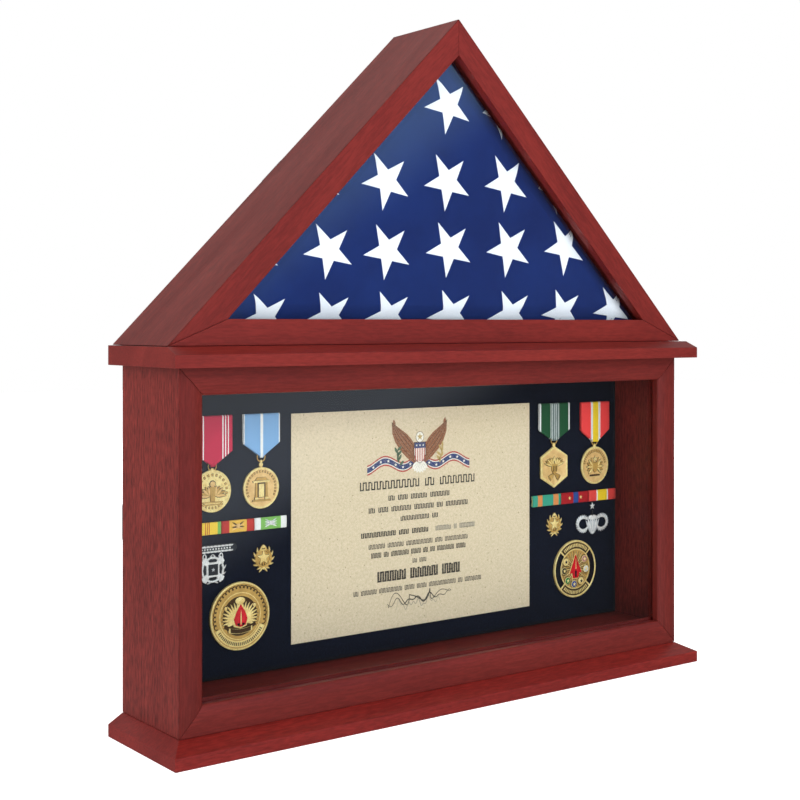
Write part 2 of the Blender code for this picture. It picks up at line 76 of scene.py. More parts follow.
class Shader:
    """A material's node tree, with short calls for the nodes that the looks are made of."""

    def __init__(self, name, tree=None):
        if tree is None:
            self.material = bpy.data.materials.new(name)
            self.material.use_nodes = True
            tree = self.material.node_tree
        self.tree = tree
        self.tree.nodes.clear()

    def node(self, kind, inputs=None, **settings):
        made = self.tree.nodes.new("ShaderNode" + kind)
        for key, value in settings.items():
            setattr(made, key, value)
        for key, value in (inputs or {}).items():
            self.set(made.inputs[key], value)
        return made

    def set(self, socket, value):
        if isinstance(value, bpy.types.NodeSocket):
            self.tree.links.new(value, socket)
        else:
            socket.default_value = (*linear(value), 1.0) if socket.type == "RGBA" else value

    def out(self, kind, inputs=None, output=0, **settings):
        return self.node(kind, inputs, **settings).outputs[output]

    def mapped(self, scale=(1, 1, 1), turn=(0, 0, 0), source=None):
        source = source or self.out("TexCoord", output="Object")
        return self.out("Mapping", {"Vector": source, "Scale": scale, "Rotation": turn})

    def placed(self, scale, source=None, turn=(0, 0, 0)):
        """A texture's place and scale, which is one number, or one along each axis."""
        if isinstance(scale, tuple):
            return {"Vector": self.mapped(scale, turn, source), "Scale": 1.0}
        return {"Vector": self.out("TexCoord", output="Object"), "Scale": scale}

    def axes(self, output="Object"):
        made = self.node("SeparateXYZ", {"Vector": self.out("TexCoord", output=output)})
        return [made.outputs[i] for i in range(3)]

    def noise(self, scale, detail=4.0, roughness=0.55, distortion=0.0, source=None, turn=(0, 0, 0)):
        return self.out("TexNoise", {**self.placed(scale, source, turn), "Detail": detail, "Roughness": roughness,
                                     "Distortion": distortion}, "Fac")

    def cells(self, scale, output="Distance"):
        return self.out("TexVoronoi", self.placed(scale), output)

    def ramp(self, value, stops, interpolation="LINEAR"):
        made = self.node("ValToRGB", {"Fac": value})
        made.color_ramp.interpolation = interpolation
        elements = made.color_ramp.elements
        while len(elements) < len(stops):
            elements.new(0.5)
        for element, (position, colour) in zip(elements, stops):
            element.position = position
            element.color = (*linear(colour), 1.0)
        return made.outputs["Color"]

    def math(self, operation, a, b=0.0, clamp=False):
        return self.out("Math", {0: a, 1: b}, operation=operation, use_clamp=clamp)

    def times(self, a, b):
        return self.math("MULTIPLY", a, b)

    def plus(self, a, b):
        return self.math("ADD", a, b)

    def wave(self, value, pitch):
        return self.math("SINE", self.times(value, TAU / pitch))

    def grey(self, value):
        return self.out("CombineXYZ", {0: value, 1: value, 2: value})

    def mix(self, share, a, b, blend="MIX"):
        return self.out("Mix", {0: share, 6: a, 7: b}, 2, data_type="RGBA", blend_type=blend)

    def span(self, value, low, high, to_low=0.0, to_high=1.0, kind="LINEAR"):
        inputs = {"Value": value, "From Min": low, "From Max": high, "To Min": to_low, "To Max": to_high}
        return self.out("MapRange", inputs, "Result", interpolation_type=kind)

    def turned(self, colour, other, value, low, high, most=1.0):
        """The colour turning to the other, by up to most, as the value goes from low to high."""
        return self.mix(self.span(value, low, high, 0.0, most), colour, other)

    def finish(self, shader):
        self.node("OutputMaterial", {"Surface": shader})
        return self.material

    def surface(self, colour, roughness, bump, **inputs):
        """Ends the tree in one Principled shader. bump is height, its distance in metres, and its strength."""
        normal = self.out("Bump", dict(zip(("Height", "Distance", "Strength"), bump))) if bump else None
        sockets = {key.replace("_", " "): value for key, value in inputs.items()}
        if bump:
            sockets["Normal"] = normal
        return self.finish(self.out("BsdfPrincipled", {"Base Color": colour, "Roughness": roughness, **sockets}))


# ---- Materials ----

def wood_look(name, grain_turn, tone_and_painted_light, flecks, brown):
    """Cherry stain over close, even grain with short dark pores. grain_turn brings the grain's direction onto X,
    and brown is how much green and blue the stain keeps. The stain's brightness and brown are set part by part,
    and so paint light, shade and sheen onto it."""
    shader = Shader(name)
    along = shader.mapped(turn=grain_turn)
    figure = shader.noise((4, 22, 22), 4.0, 0.55, 0.8, along)
    grain = shader.noise((12, 520, 520), 5.0, 0.6, 0.2, along)
    pores = shader.noise((95, 620, 620), 3.0, 0.6, 0.0, along)
    # The stain, lightened or darkened part by part: painted light and shade.
    stain = (tone_and_painted_light, tone_and_painted_light * brown, tone_and_painted_light * brown)
    colour = shader.ramp(figure, [(0.30, scaled("70221d", *stain)), (0.5, scaled("782620", *stain)),
                                  (0.70, scaled("7f2a23", *stain))])
    shade = shader.plus(shader.span(grain, 0.36, 0.62, 1.0 - 0.4 * flecks, 1.03),
                        shader.span(pores, 0.40, 0.62, -flecks, 0.0))
    colour = shader.mix(1.0, colour, shader.grey(shade), "MULTIPLY")
    height = shader.plus(shader.times(grain, 0.5), pores)
    return shader.surface(colour, shader.span(figure, 0.3, 0.7, 0.44, 0.36), (height, 0.00006, 0.4),
                          Specular_IOR_Level=0.2, Coat_Weight=0.02, Coat_Roughness=0.2)


def glass_look(name):
    """Clear picture glass: what is behind it shows through, under a mirror image that grows to the sides."""
    shader = Shader(name)
    mirror = shader.math("MULTIPLY", shader.out("Fresnel", {"IOR": 1.5}), 1.9, clamp=True)
    front = shader.math("SUBTRACT", 1.0, shader.out("NewGeometry", output="Backfacing"))
    clear = shader.out("BsdfTransparent", {"Color": (0.985, 0.99, 0.985)})
    shine = shader.out("BsdfGlossy", {"Color": (1, 1, 1), "Roughness": 0.0})
    return shader.finish(shader.out("MixShader", {0: shader.times(mirror, front), 1: clear, 2: shine}))


def felt_look(name):
    shader = Shader(name)
    fibres = shader.noise((900, 900, 500), 5.0, 0.7, 1.5)
    colour = shader.ramp(fibres, [(0.30, "060914"), (0.55, "0d1220"), (0.80, "1f2739")])
    colour = shader.turned(colour, "0b0f18", shader.noise(14.0, 3.0, 0.5), 0.35, 0.65, 0.25)
    return shader.surface(colour, 1.0, (fibres, 0.00012, 0.4), Specular_IOR_Level=0.05, Sheen_Weight=0.03,
                          Sheen_Roughness=0.6)


def flag_look(name, colour, pale):
    """Bunting with a fine plain weave and faint creasing."""
    shader = Shader(name)
    threads = shader.noise((900, 900, 900), 3.0, 0.6)
    tint = shader.turned(colour, pale, shader.noise(16.0, 4.0, 0.55), 0.35, 0.65)
    tint = shader.turned(tint, scaled(colour, 0.72), threads, 0.3, 0.7, 0.22)
    x, _, z = shader.axes()
    weave = shader.times(shader.wave(x, WEAVE), shader.wave(z, WEAVE))
    height = shader.plus(weave, shader.times(threads, 0.8))
    return shader.surface(tint, 0.85, (height, 0.00008, 0.5), Specular_IOR_Level=0.18, Sheen_Weight=0.06,
                          Sheen_Roughness=0.4)


def paper_look(name):
    """Laid parchment paper: cream, mottled, with sparse brown fibres and specks."""
    shader = Shader(name)
    mottle = shader.noise(420.0, 4.0, 0.75)
    colour = shader.ramp(mottle, [(0.30, "c3b191"), (0.5, "d5c3a4"), (0.70, "dfccaf")])
    colour = shader.turned(colour, "cebc9a", shader.noise(9.0, 3.0, 0.5), 0.35, 0.7, 0.22)
    fibres = shader.noise((260, 260, 1100), 2.0, 0.6, 2.5, turn=(0.3, 0.4, 0.9))
    colour = shader.turned(colour, "a8936c", fibres, 0.70, 0.78, 0.55)
    colour = shader.turned(colour, "7d6745", shader.cells(120.0), 0.10, 0.055, 0.65)
    return shader.surface(colour, 0.86, (mottle, 0.00005, 0.5), Specular_IOR_Level=0.25)


def ink_look(name, colour):
    """Printing ink that has soaked unevenly into the paper."""
    shader = Shader(name)
    paler = tuple(0.75 * v + 0.25 * p for v, p in zip(linear(colour), linear("dccfb5")))
    tint = shader.ramp(shader.noise(900.0, 3.0, 0.6), [(0.4, colour), (0.75, paler)])
    return shader.surface(tint, 0.8, None, Specular_IOR_Level=0.2)


def striped_look(name, start, width, stripes, pitch=0.0007, moire=0.25):
    """Grosgrain ribbon cloth. stripes are (share of the width where it starts, hex colour), from the left."""
    shader = Shader(name)
    x, _, z = shader.axes()
    wander = shader.noise((1600, 1, 60), 2.0)
    across = shader.plus(shader.span(x, start, start + width), shader.span(wander, 0.0, 1.0, -0.006, 0.006))
    colour = shader.ramp(across, stripes, "CONSTANT")
    twill = shader.wave(shader.plus(shader.times(x, 1.0), shader.times(z, 1.6)), 4.5 * pitch)
    watered = shader.noise((180, 1, 900), 4.0, 0.6, 1.0)
    shade = shader.plus(shader.times(twill, 0.8 * moire), shader.span(watered, 0.3, 0.7, -moire, moire))
    darker = shader.mix(1.0, colour, (0.62, 0.62, 0.64), "MULTIPLY")
    colour = shader.turned(colour, darker, shade, -0.3, 0.9, 0.6)
    return shader.surface(colour, 0.62, (shader.wave(z, pitch), 0.00006, 0.55), Specular_IOR_Level=0.25,
                          Sheen_Weight=0.04, Sheen_Roughness=0.35)


def metal_look(name, bright, dull, roughness, metallic, mottle=0.5):
    """Struck metal with a little tarnish left where polishing doesn't reach."""
    shader = Shader(name)
    scuffs = shader.noise((1400, 1400, 300), 3.0, 0.6, turn=(0.2, 0.5, 0.3))
    colour = shader.turned(bright, dull, shader.noise(160.0, 5.0, 0.65), 0.35, 0.68, mottle)
    gloss = shader.span(scuffs, 0.3, 0.7, roughness - 0.08, roughness + 0.1)
    return shader.surface(colour, gloss, (scuffs, 0.00004, 0.35), Metallic=metallic)


def enamel_look(name, colour):
    """Glassy enamel under a clear coat, with slight pooling."""
    shader = Shader(name)
    colour = shader.ramp(shader.noise(260.0, 2.0, 0.5), [(0.35, scaled(colour, 0.7)), (0.7, colour)])
    return shader.surface(colour, 0.25, None, Coat_Weight=0.8, Coat_Roughness=0.05)


def hardboard_look(name):
    shader = Shader(name)
    pulp = shader.noise(420.0, 5.0, 0.75)
    colour = shader.ramp(pulp, [(0.3, "4a3321"), (0.5, "6b4c33"), (0.75, "8a6a4a")])
    colour = shader.turned(colour, "a08360", shader.cells((500, 500, 900)), 0.22, 0.08, 0.5)
    return shader.surface(colour, 0.6, (pulp, 0.0001, 0.5), Specular_IOR_Level=0.3)


def steel_look(name):
    shader = Shader(name)
    colour = shader.mix(0.18, "b9bcc0", shader.cells(500.0, "Color"), "SOFT_LIGHT")
    worn = shader.noise(300.0, 4.0, 0.6)
    return shader.surface(colour, shader.span(worn, 0.3, 0.7, 0.24, 0.42), (worn, 0.00003, 0.3), Metallic=0.95)


def foam_look(name):
    shader = Shader(name)
    bubbles = shader.cells(900.0)
    colour = shader.ramp(bubbles, [(0.05, "b9b6ae"), (0.5, "e4e2dc")])
    return shader.surface(colour, 0.9, (bubbles, 0.0003, 0.6), Specular_IOR_Level=0.2)


# ---- Mesh building ----

def make_object(name, data):
    made = bpy.data.objects.new(name, data)
    bpy.context.scene.collection.objects.link(made)
    return made


def make_piece(name, body, points, faces, materials, stands_for=(), tints=None, corner=35.0):
    """A new piece from points and faces. tints gives each face's index in materials, and corner is the angle in
    degrees from which an edge is sharp."""
    data = bpy.data.meshes.new(name)
    data.from_pydata([tuple(map(float, p)) for p in points], [], faces)
    for material in materials:
        data.materials.append(material)
    if tints is not None:
        data.polygons.foreach_set("material_index", tints)
    shape = bmesh.new()
    shape.from_mesh(data)
    bmesh.ops.dissolve_degenerate(shape, edges=shape.edges, dist=1e-7)
    bmesh.ops.recalc_face_normals(shape, faces=shape.faces)
    shape.to_mesh(data)
    shape.free()
    data.polygons.foreach_set("use_smooth", [True] * len(data.polygons))
    data.set_sharp_from_angle(angle=math.radians(corner))
    piece = make_object(name, data)
    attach(piece, body)
    if stands_for:
        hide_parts(*stands_for)
    return piece


def polar(radius, angle, x=0.0, z=0.0):
    return x + radius * math.cos(angle), z + radius * math.sin(angle)


def ring(radius, count, x=0.0, z=0.0):
    return [polar(radius, TAU * i / count, x, z) for i in range(count)]


def star_points(size, waist, turn=PI / 2):
    """A five-pointed star round the origin. waist is how far its inner corners are, as a share of its points."""
    return [polar(size * (waist if i % 2 else 1), turn + TAU * i / 10) for i in range(10)]


def flat(rows):
    return [point for row in rows for point in row]


def caps(rows, columns):
    """The two end faces of a closed tube of points."""
    return [tuple(range(columns))[::-1], tuple(range((rows - 1) * columns, rows * columns))]


def fan_faces(first, count, tip):
    """Triangles from a ring of points to its tip."""
    return [(first + i, first + (i + 1) % count, tip) for i in range(count)]


def grid_faces(rows, columns, start=0, closed_rows=False, closed_columns=False):
    """Quads over a grid of points that were listed row by row."""
    faces = []
    for i in range(rows if closed_rows else rows - 1):
        for j in range(columns if closed_columns else columns - 1):
            a, b = i * columns, (i + 1) % rows * columns
            k = (j + 1) % columns
            faces.append((start + a + j, start + a + k, start + b + k, start + b + j))
    return faces


def modify(piece, kind, **settings):
    made = piece.modifiers.new(kind.lower(), kind)
    for key, value in settings.items():
        setattr(made, key, value)


def dress(names, material, edge=0.0):
    """Gives CAD nodes their material and eases their edges by that width."""
    for name in names:
        node = NODES[name]
        node.data.materials.clear()
        node.data.materials.append(material)
        if edge:
            modify(node, "WELD", merge_threshold=0.00002)
            modify(node, "BEVEL", width=edge, segments=2, limit_method="ANGLE", angle_limit=math.radians(25),
                   use_clamp_overlap=True)


# ---- Camera, light and floor ----

def make_camera():
    data = bpy.data.cameras.new("camera")
    data.sensor_width = 36.0
    data.lens = 63.0
    data.shift_y = -0.095
    camera = make_object("camera", data)
    camera.location = (-0.8483, -1.0803, 0.3637)
    camera.rotation_euler = (math.radians(90), 0, math.radians(-36.86))
    bpy.context.scene.camera = camera


def area_light(name, location, target, size, power):
    data = bpy.data.lights.new(name, "AREA")
    data.shape = "RECTANGLE"
    data.size, data.size_y = size
    data.energy = power
    light = make_object(name, data)
    light.location = location
    light.rotation_euler = (Vector(target) - Vector(location)).to_track_quat("-Z", "Y").to_euler()
    return light


def make_world():
    """A white wall behind the case and a dim room in front, with two soft cards that the panes mirror.
    Rays straight from the camera see plain white."""
    world = bpy.data.worlds.new("studio")
    bpy.context.scene.world = world
    world.use_nodes = True
    shader = Shader("studio", world.node_tree)
    x, y, z = shader.axes("Generated")
    forward = shader.math("MAXIMUM", shader.times(y, -1.0), 0.05)
    across, upward = shader.math("DIVIDE", x, forward), shader.math("DIVIDE", z, forward)

    def card(slope, height, low, high):
        """Light above a slanted line, between two heights."""
        edge = shader.math("SUBTRACT", upward, shader.times(across, slope))
        lit = shader.span(edge, height - 0.02, height + 0.06, kind="SMOOTHSTEP")
        above = shader.span(upward, low - CARD_EDGE, low + CARD_EDGE)
        below = shader.span(upward, high + CARD_EDGE, high - CARD_EDGE)
        return shader.times(shader.times(lit, above), below)

    ahead = shader.span(y, -0.15, -0.3)
    upper = shader.times(card(0.689, -0.398, -0.02, 1.0), ahead)
    lower = shader.times(card(0.4625, -0.463, -0.6, -0.02), ahead)
    wall = shader.span(y, -0.15, 0.4, 0.0, WALL_LIGHT, "SMOOTHSTEP")
    outside = shader.plus(wall, shader.span(z, 0.1, 0.9, 0.0, SKY_LIGHT))
    mirrored = shader.plus(shader.times(outside, MIRRORED_SHARE), MIRRORED_ROOM)
    glossy = shader.out("LightPath", output="Is Glossy Ray")
    light = shader.plus(shader.times(mirrored, glossy),
                        shader.times(shader.plus(outside, ROOM_LIGHT), shader.math("SUBTRACT", 1.0, glossy)))
    tint = shader.mix(1.0, shader.mix(upper, (0, 0, 0), UPPER_CARD), shader.mix(lower, (0, 0, 0), LOWER_CARD), "ADD")
    lit = shader.mix(1.0, shader.grey(light), tint, "ADD")
    colour = shader.mix(shader.out("LightPath", output="Is Camera Ray"), lit, (1.0, 1.0, 1.0))
    shader.node("OutputWorld", {"Surface": shader.out("Background", {"Color": colour, "Strength": 1.0})})


def make_floor():
    """A pale floor. Mirror images in the panes and the varnish look through it, as it is never as bright there."""
    data = bpy.data.meshes.new("studio_floor")
    data.from_pydata([(-FLOOR, -FLOOR, 0), (FLOOR, -FLOOR, 0), (FLOOR, FLOOR, 0), (-FLOOR, FLOOR, 0)], [],
                     [(0, 1, 2, 3)])
    shader = Shader("floor")
    colour = shader.ramp(shader.noise(40.0, 3.0), [(0.3, (0.93, 0.93, 0.93)), (0.7, (0.97, 0.97, 0.97))])
    solid = shader.out("BsdfPrincipled", {"Base Color": colour, "Roughness": 0.9, "Specular IOR Level": 0.1,
                                          "Emission Color": (1, 1, 1), "Emission Strength": FLOOR_GLOW})
    glossy = shader.out("LightPath", output="Is Glossy Ray")
    mixed = shader.out("MixShader", {0: glossy, 1: solid, 2: shader.out("BsdfTransparent")})
    data.materials.append(shader.finish(mixed))
    make_object("studio_floor", data)


WEAVE = 0.0011
WALL_LIGHT, SKY_LIGHT, ROOM_LIGHT = 0.40, 0.50, 0.14
UPPER_CARD, LOWER_CARD, CARD_EDGE = (0.36, 0.60, 0.84), (0.46, 0.50, 0.54), 0.01
MIRRORED_SHARE, MIRRORED_ROOM = 0.62, 0.045
FLOOR, FLOOR_GLOW = 6.0, 0.55
make_camera()
make_world()
make_floor()
key = area_light("key", (0.1, -2.9, 1.35), (0, 0, 0.33), (2.0, 1.8), 58)
key.visible_glossy = False
area_light("fill", (-2.6, -0.4, 1.4), (0, 0, 0.3), (1.4, 1.4), 32)
area_light("back", (2.0, 2.3, 0.5), (0, 0, 0.33), (1.6, 0.9), 20)
bpy.context.scene.view_settings.view_transform = "Standard"


# ---- Wooden case, glass and backs ----

ALONG_X, ALONG_Z = (0, 0, 0), (0, PI / 2, 0)
UP_TO_RIGHT, UP_TO_LEFT = (0, PI / 4, 0), (0, -PI / 4, 0)
EASED = 0.0004
# CAD nodes, the name of their look, its grain, tone, flecks and brown, and the width of their eased edges.
# One cherry stain is set lighter or darker, and redder or greyer, from group to group as painted light and shade:
# darker on the lower frame's rails and stiles, lighter on the box sides, and greyer there as a painted sheen.
for nodes, look, grain, tone_and_painted_light, flecks, brown, edge in (
        ("middle_ledge flag_frame_bottom_rail", "level", ALONG_X, 0.94, 0.2, 0.88, EASED),
        ("base_plinth", "plinth", ALONG_X, 1.14, 0.3, 0.68, EASED),
        ("lower_frame_bottom_rail lower_frame_top_rail", "rails", ALONG_X, 0.78, 0.2, 0.95, EASED),
        ("flag_case_bottom_board box_top_board box_bottom_board", "boards", ALONG_X, 0.95, 0.3, 1.05, EASED),
        ("box_left_side box_right_side", "sides", ALONG_Z, 1.14, 0.45, 1.05, 0.0005),
        ("lower_frame_left_stile lower_frame_right_stile", "stiles", ALONG_Z, 0.70, 0.2, 1.0, EASED),
        ("flag_case_left_side", "left_roof", UP_TO_RIGHT, 0.95, 0.3, 1.1, 0.0005),
        ("flag_case_right_side", "right_roof", UP_TO_LEFT, 0.95, 0.3, 1.1, 0.0005),
        ("flag_frame_left_rail", "left_rake", UP_TO_RIGHT, 0.88, 0.2, 0.9, EASED),
        ("flag_frame_right_rail", "right_rake", UP_TO_LEFT, 0.88, 0.2, 0.9, EASED),
        ("lower_bead_bottom lower_bead_top flag_glass_retainer", "beads", ALONG_X, 0.75, 0.2, 0.88, EASED),
        ("lower_bead_left lower_bead_right", "upright_beads", ALONG_Z, 0.75, 0.2, 0.88, EASED)):
    dress(nodes.split(), wood_look("cherry_" + look, grain, tone_and_painted_light, flecks, brown), edge)
dress(["lower_glass", "flag_glass"], glass_look("clear_glass"))
dress(["lower_back_panel", "flag_back_panel"], hardboard_look("hardboard"), EASED)
dress([name for name in NODES if "_button_" in name], steel_look("zinc_plated_steel"), 0.0002)


# ---- Folded flag ----

def flag_inset(x, z):
    """How far a point of the front view is inside the flag case's outline."""
    up = z - FLAG_BASE
    rake = (FLAG_HALF - np.abs(x) - up) / math.sqrt(2)
    return -np.log(np.exp(-up / FOLD_SOFT) + np.exp(-rake / FOLD_SOFT)) * FOLD_SOFT


def flag_front(x, z):
    """Y of the cloth on the front. It swells from the frame to the middle, with faint creases."""
    inset = flag_inset(x, z)
    depth = np.interp(inset, FRONT_INSETS, FRONT_DEPTHS)
    crease = 0.00035 * np.sin(31 * x + 47 * z) * np.sin(23 * x - 38 * z + 1.0)
    crease += 0.00025 * np.sin(90 * x - 60 * z) * np.clip(1 - (inset - 0.014) / 0.05, 0, 1)
    return FLAG_FRONT + depth + crease


def round_outline(corners, count):
    """Points round a closed outline, count along each side."""
    points = []
    for (x0, z0), (x1, z1) in zip(corners, corners[1:] + corners[:1]):
        points += [(x0 + (x1 - x0) * share, z0 + (z1 - z0) * share) for share in np.arange(count) / count]
    return np.array(points)


def flag_ring(inset):
    """X and Z of points round the flag at one inset, starting from the left corner."""
    low = FLAG_BASE + inset
    half = FLAG_HALF - inset * math.sqrt(2) - inset
    return round_outline([(-half, low), (half, low), (0.0, low + half)], FLAG_COUNT).T


def make_folded_flag():
    """A triangular bundle: a swelling front, folded layers round the edge, and the last flap tucked in behind."""
    rings = []
    innermost = FLAG_HALF / (1 + math.sqrt(2)) * 0.998
    for inset in np.concatenate([np.linspace(innermost, 0.040, 26), np.linspace(0.038, 0.0145, 24)]):
        x, z = flag_ring(inset)
        rings.append(np.column_stack([x, flag_front(x, z), z]))
    rng = random.Random(7)
    for layer in range(FLAG_LAYERS):
        lean = 0.0008 * rng.random()
        for share, groove in ((0.0, 0.0022), (0.12, 0.0008), (0.4, 0.0), (0.75, 0.0003), (0.95, 0.0014)):
            x, z = flag_ring(0.0140 + groove + lean)
            wander = 0.0007 * np.sin(np.arange(len(x)) * (0.11 + 0.02 * layer) + 2.0 * layer)
            rings.append(np.column_stack([x, FLAG_FRONT + 0.0335 + (layer + share) * LAYER_DEPTH + wander, z]))
    for inset in np.concatenate([np.linspace(0.0150, 0.030, 8), np.linspace(0.034, innermost, 26)]):
        x, z = flag_ring(inset)
        swell = np.interp(inset, (0.0150, 0.019, 0.030, 0.1), (0.0042, 0.0018, 0.0009, 0.0003))
        tucked = np.clip((0.62 * x + (z - FLAG_BASE) - 0.105) / 0.0012, 0, 1) * 0.0013
        folds = 0.0003 * np.sin(80 * x - 50 * z) * np.sin(33 * z + 14 * x)
        rings.append(np.column_stack([x, FLAG_FRONT + FLAG_DEPTH - swell - 0.0016 + tucked + folds, z]))
    across = 3 * FLAG_COUNT
    faces = grid_faces(len(rings), across, closed_columns=True) + caps(len(rings), across)
    flag = make_piece("folded_flag_bundle", CASE, np.concatenate(rings), faces,
                      [flag_look("flag_cloth_blue", "11235a", "152b66")], ["folded_flag"], corner=60.0)


def flag_star(x, z, size, turn, squash):
    """Points and faces of one appliqué star that lies on the flag's front, in rings from its rim to its middle."""
    outline = round_outline(star_points(size, 0.382, turn), 5)
    points = []
    lifts = ((1.0, -0.0002), (0.985, 0.00030), (0.93, 0.00038), (0.7, 0.0004), (0.45, 0.0004), (0.2, 0.0004))
    for share, lift in lifts:
        px, pz = x + outline[:, 0] * share, z + outline[:, 1] * share * squash
        points.append(np.column_stack([px, flag_front(px, pz) - lift, pz]))
    points.append(np.array([[x, float(flag_front(np.array(x), np.array(z))) - 0.0004, z]]))
    count = len(outline)
    faces = grid_faces(len(lifts), count, closed_columns=True)
    return np.concatenate(points), faces + fan_faces((len(lifts) - 1) * count, count, len(lifts) * count)


def make_flag_stars():
    """Stars in level rows, cut off where the cloth turns round the edge of the bundle."""
    rng = random.Random(3)
    points, faces, total = [], [], 0
    for z, tilt, places, squash, scale in STAR_ROWS:
        for x in places:
            level = z + tilt * x
            if flag_inset(np.array(x), np.array(level)) < -0.004:
                continue
            turn = math.radians(45 + rng.uniform(-2.0, 2.0))
            size = scale * STAR_SIZE * (0.97 + 0.35 * x)
            some, joined = flag_star(x, level + rng.uniform(-0.001, 0.001), size, turn, squash)
            points.append(some)
            faces += [tuple(total + k for k in face) for face in joined]
            total += len(some)
    cloth = flag_look("flag_cloth_white", "e9ecf3", "f4f6fa")
    stars = make_piece("flag_stars", CASE, np.concatenate(points), faces, [cloth], corner=60.0)
    cut = bmesh.new()
    cut.from_mesh(stars.data)
    planes = [((0, 0, FLAG_BASE + STAR_EDGE), (0, 0, -1))]
    planes += [((side * (FLAG_HALF - STAR_EDGE * math.sqrt(2)), 0, FLAG_BASE), (side, 0, 1)) for side in SIDES]
    for point, out in planes:
        bmesh.ops.bisect_plane(cut, geom=[*cut.verts, *cut.edges, *cut.faces], plane_co=point, plane_no=out,
                               clear_outer=True)
    cut.to_mesh(stars.data)
    cut.free()


FOLD_SOFT = 0.0016
FRONT_INSETS = (0.010, 0.014, 0.017, 0.024, 0.036, 0.060, 0.125)
FRONT_DEPTHS = (0.034, 0.032, 0.024, 0.0195, 0.0163, 0.0142, 0.0138)
FLAG_DEPTH, FLAG_COUNT, FLAG_LAYERS, LAYER_DEPTH = 0.0985, 90, 6, 0.0095
# Each row: height, tilt, middles of its stars, how much the turn of the cloth flattens them, and their size.
STAR_ROWS = [(0.5745, 0.045, (-0.081, -0.001, 0.0745), 1.0, 1.0),
             (0.5010, 0.045, (-0.151, -0.0755, -0.0030, 0.0730, 0.151), 1.0, 1.0),
             (0.4360, 0.045, (-0.2165, -0.1400, -0.0747, -0.0008, 0.0755, 0.1535), 0.97, 1.0),
             (0.3720, 0.020, (-0.2050, -0.1370, -0.0700, 0.0045, 0.0812), 0.90, 1.0),
             (0.3697, 0.045, (0.1515, 0.2250), 0.90, 0.92)]
STAR_SIZE, STAR_EDGE = 0.0302, 0.0150
make_folded_flag()
make_flag_stars()


# ---- Felt, foam board and certificate ----

def make_felt():
    """Felt stretched over the front of the foam board, with its nap a little uneven."""
    lo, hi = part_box("felt_cover")
    columns, rows = 120, 60
    points = []
    for i in range(rows):
        for j in range(columns):
            x, z = lo.x + (hi.x - lo.x) * j / (columns - 1), lo.z + (hi.z - lo.z) * i / (rows - 1)
            near_edge = min(x - lo.x, hi.x - x, z - lo.z, hi.z - z)
            turned = 0.0012 * max(0.0, 1 - near_edge / 0.004) ** 2
            nap = 0.00010 * math.sin(61 * x + 3) * math.sin(77 * z)
            points.append((x, lo.y + 0.00015 + turned + nap, z))
    felt = make_piece("felt_sheet", BACK, points, grid_faces(rows, columns), [felt_look("dark_felt")],
                      ["felt_cover"], corner=80.0)
    modify(felt, "SOLIDIFY", thickness=0.0010, offset=1.0 if felt.data.polygons[0].normal.y > 0 else -1.0)


def make_foam_board():
    lo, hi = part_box("medal_pad")
    count, round_off = 24, 0.0012
    points = []
    middle_x, middle_z = (lo.x + hi.x) / 2, (lo.z + hi.z) / 2
    levels = [(lo.y, round_off), (lo.y + round_off, 0.0), (hi.y - round_off, 0.0), (hi.y, round_off)]
    for y, inset in levels:
        half_x, half_z = (hi.x - lo.x) / 2 - inset, (hi.z - lo.z) / 2 - inset
        corners = [(-half_x, -half_z), (half_x, -half_z), (half_x, half_z), (-half_x, half_z)]
        points += [(middle_x + x, y, middle_z + z) for x, z in round_outline(corners, count)]
    faces = grid_faces(len(levels), 4 * count, closed_columns=True) + caps(len(levels), 4 * count)
    board = make_piece("medal_foam_board", BACK, points, faces, [foam_look("foam_board")], ["medal_pad"])


class Print:
    """Flat ink on the certificate. Points are right of the middle of the print and down from the sheet's top."""

    def __init__(self):
        self.lo, self.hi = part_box("certificate")
        self.middle = (self.lo.x + self.hi.x) / 2 + 0.0022
        self.points, self.faces, self.tints, self.inks = [], [], [], []

    def ink(self, name, colour):
        self.inks.append(ink_look("ink_" + name, colour))
        return len(self.inks) - 1

    def patch(self, outline, ink, lift=1):
        """A filled outline. Ink with more lift lies over ink with less."""
        y = self.lo.y - 0.00004 * lift
        start = len(self.points)
        self.points += [(self.middle + x, y, self.hi.z - down) for x, down in outline]
        self.faces.append(tuple(range(start, start + len(outline))))
        self.tints.append(ink)

    def bar(self, x, down, width, height, ink, lift=1):
        self.patch([(x, down), (x + width, down), (x + width, down + height), (x, down + height)], ink, lift)

    def stroke(self, route, width, ink, lift=1):
        """A line of that width along points, tapered at its ends."""
        route = np.array(route)
        ahead = np.gradient(route, axis=0)
        ahead /= np.linalg.norm(ahead, axis=1)[:, None]
        taper = np.sin(np.linspace(0.12, 0.88, len(route)) * PI)[:, None] * width / 2
        side = np.column_stack([-ahead[:, 1], ahead[:, 0]]) * taper
        for a, b, c, d in zip((route + side)[:-1], (route + side)[1:], (route - side)[1:], (route - side)[:-1]):
            self.patch([tuple(a), tuple(b), tuple(c), tuple(d)], ink, lift)

    def words(self, down, half, height, ink, letters, rng, weight=0.5, middle=0.0):
        """A line of blank words, centred: each is a square wave, as wide as that many letters."""
        pitch = 2 * half / (sum(letters) + WORD_GAP * (len(letters) - 1))
        x = middle - half
        for count in letters:
            for k in range(2 * count):
                rise = rng.choice((1.0, 1.0, 0.9))
                self.bar(x, down + height * (1 - rise), 0.46 * pitch * weight, height * rise, ink)
                if k < 2 * count - 1:
                    tie = 0.0 if k % 2 else 0.84
                    self.bar(x, down + height * tie, 0.5 * pitch, height * 0.16, ink)
                x += 0.5 * pitch
            x += WORD_GAP * pitch


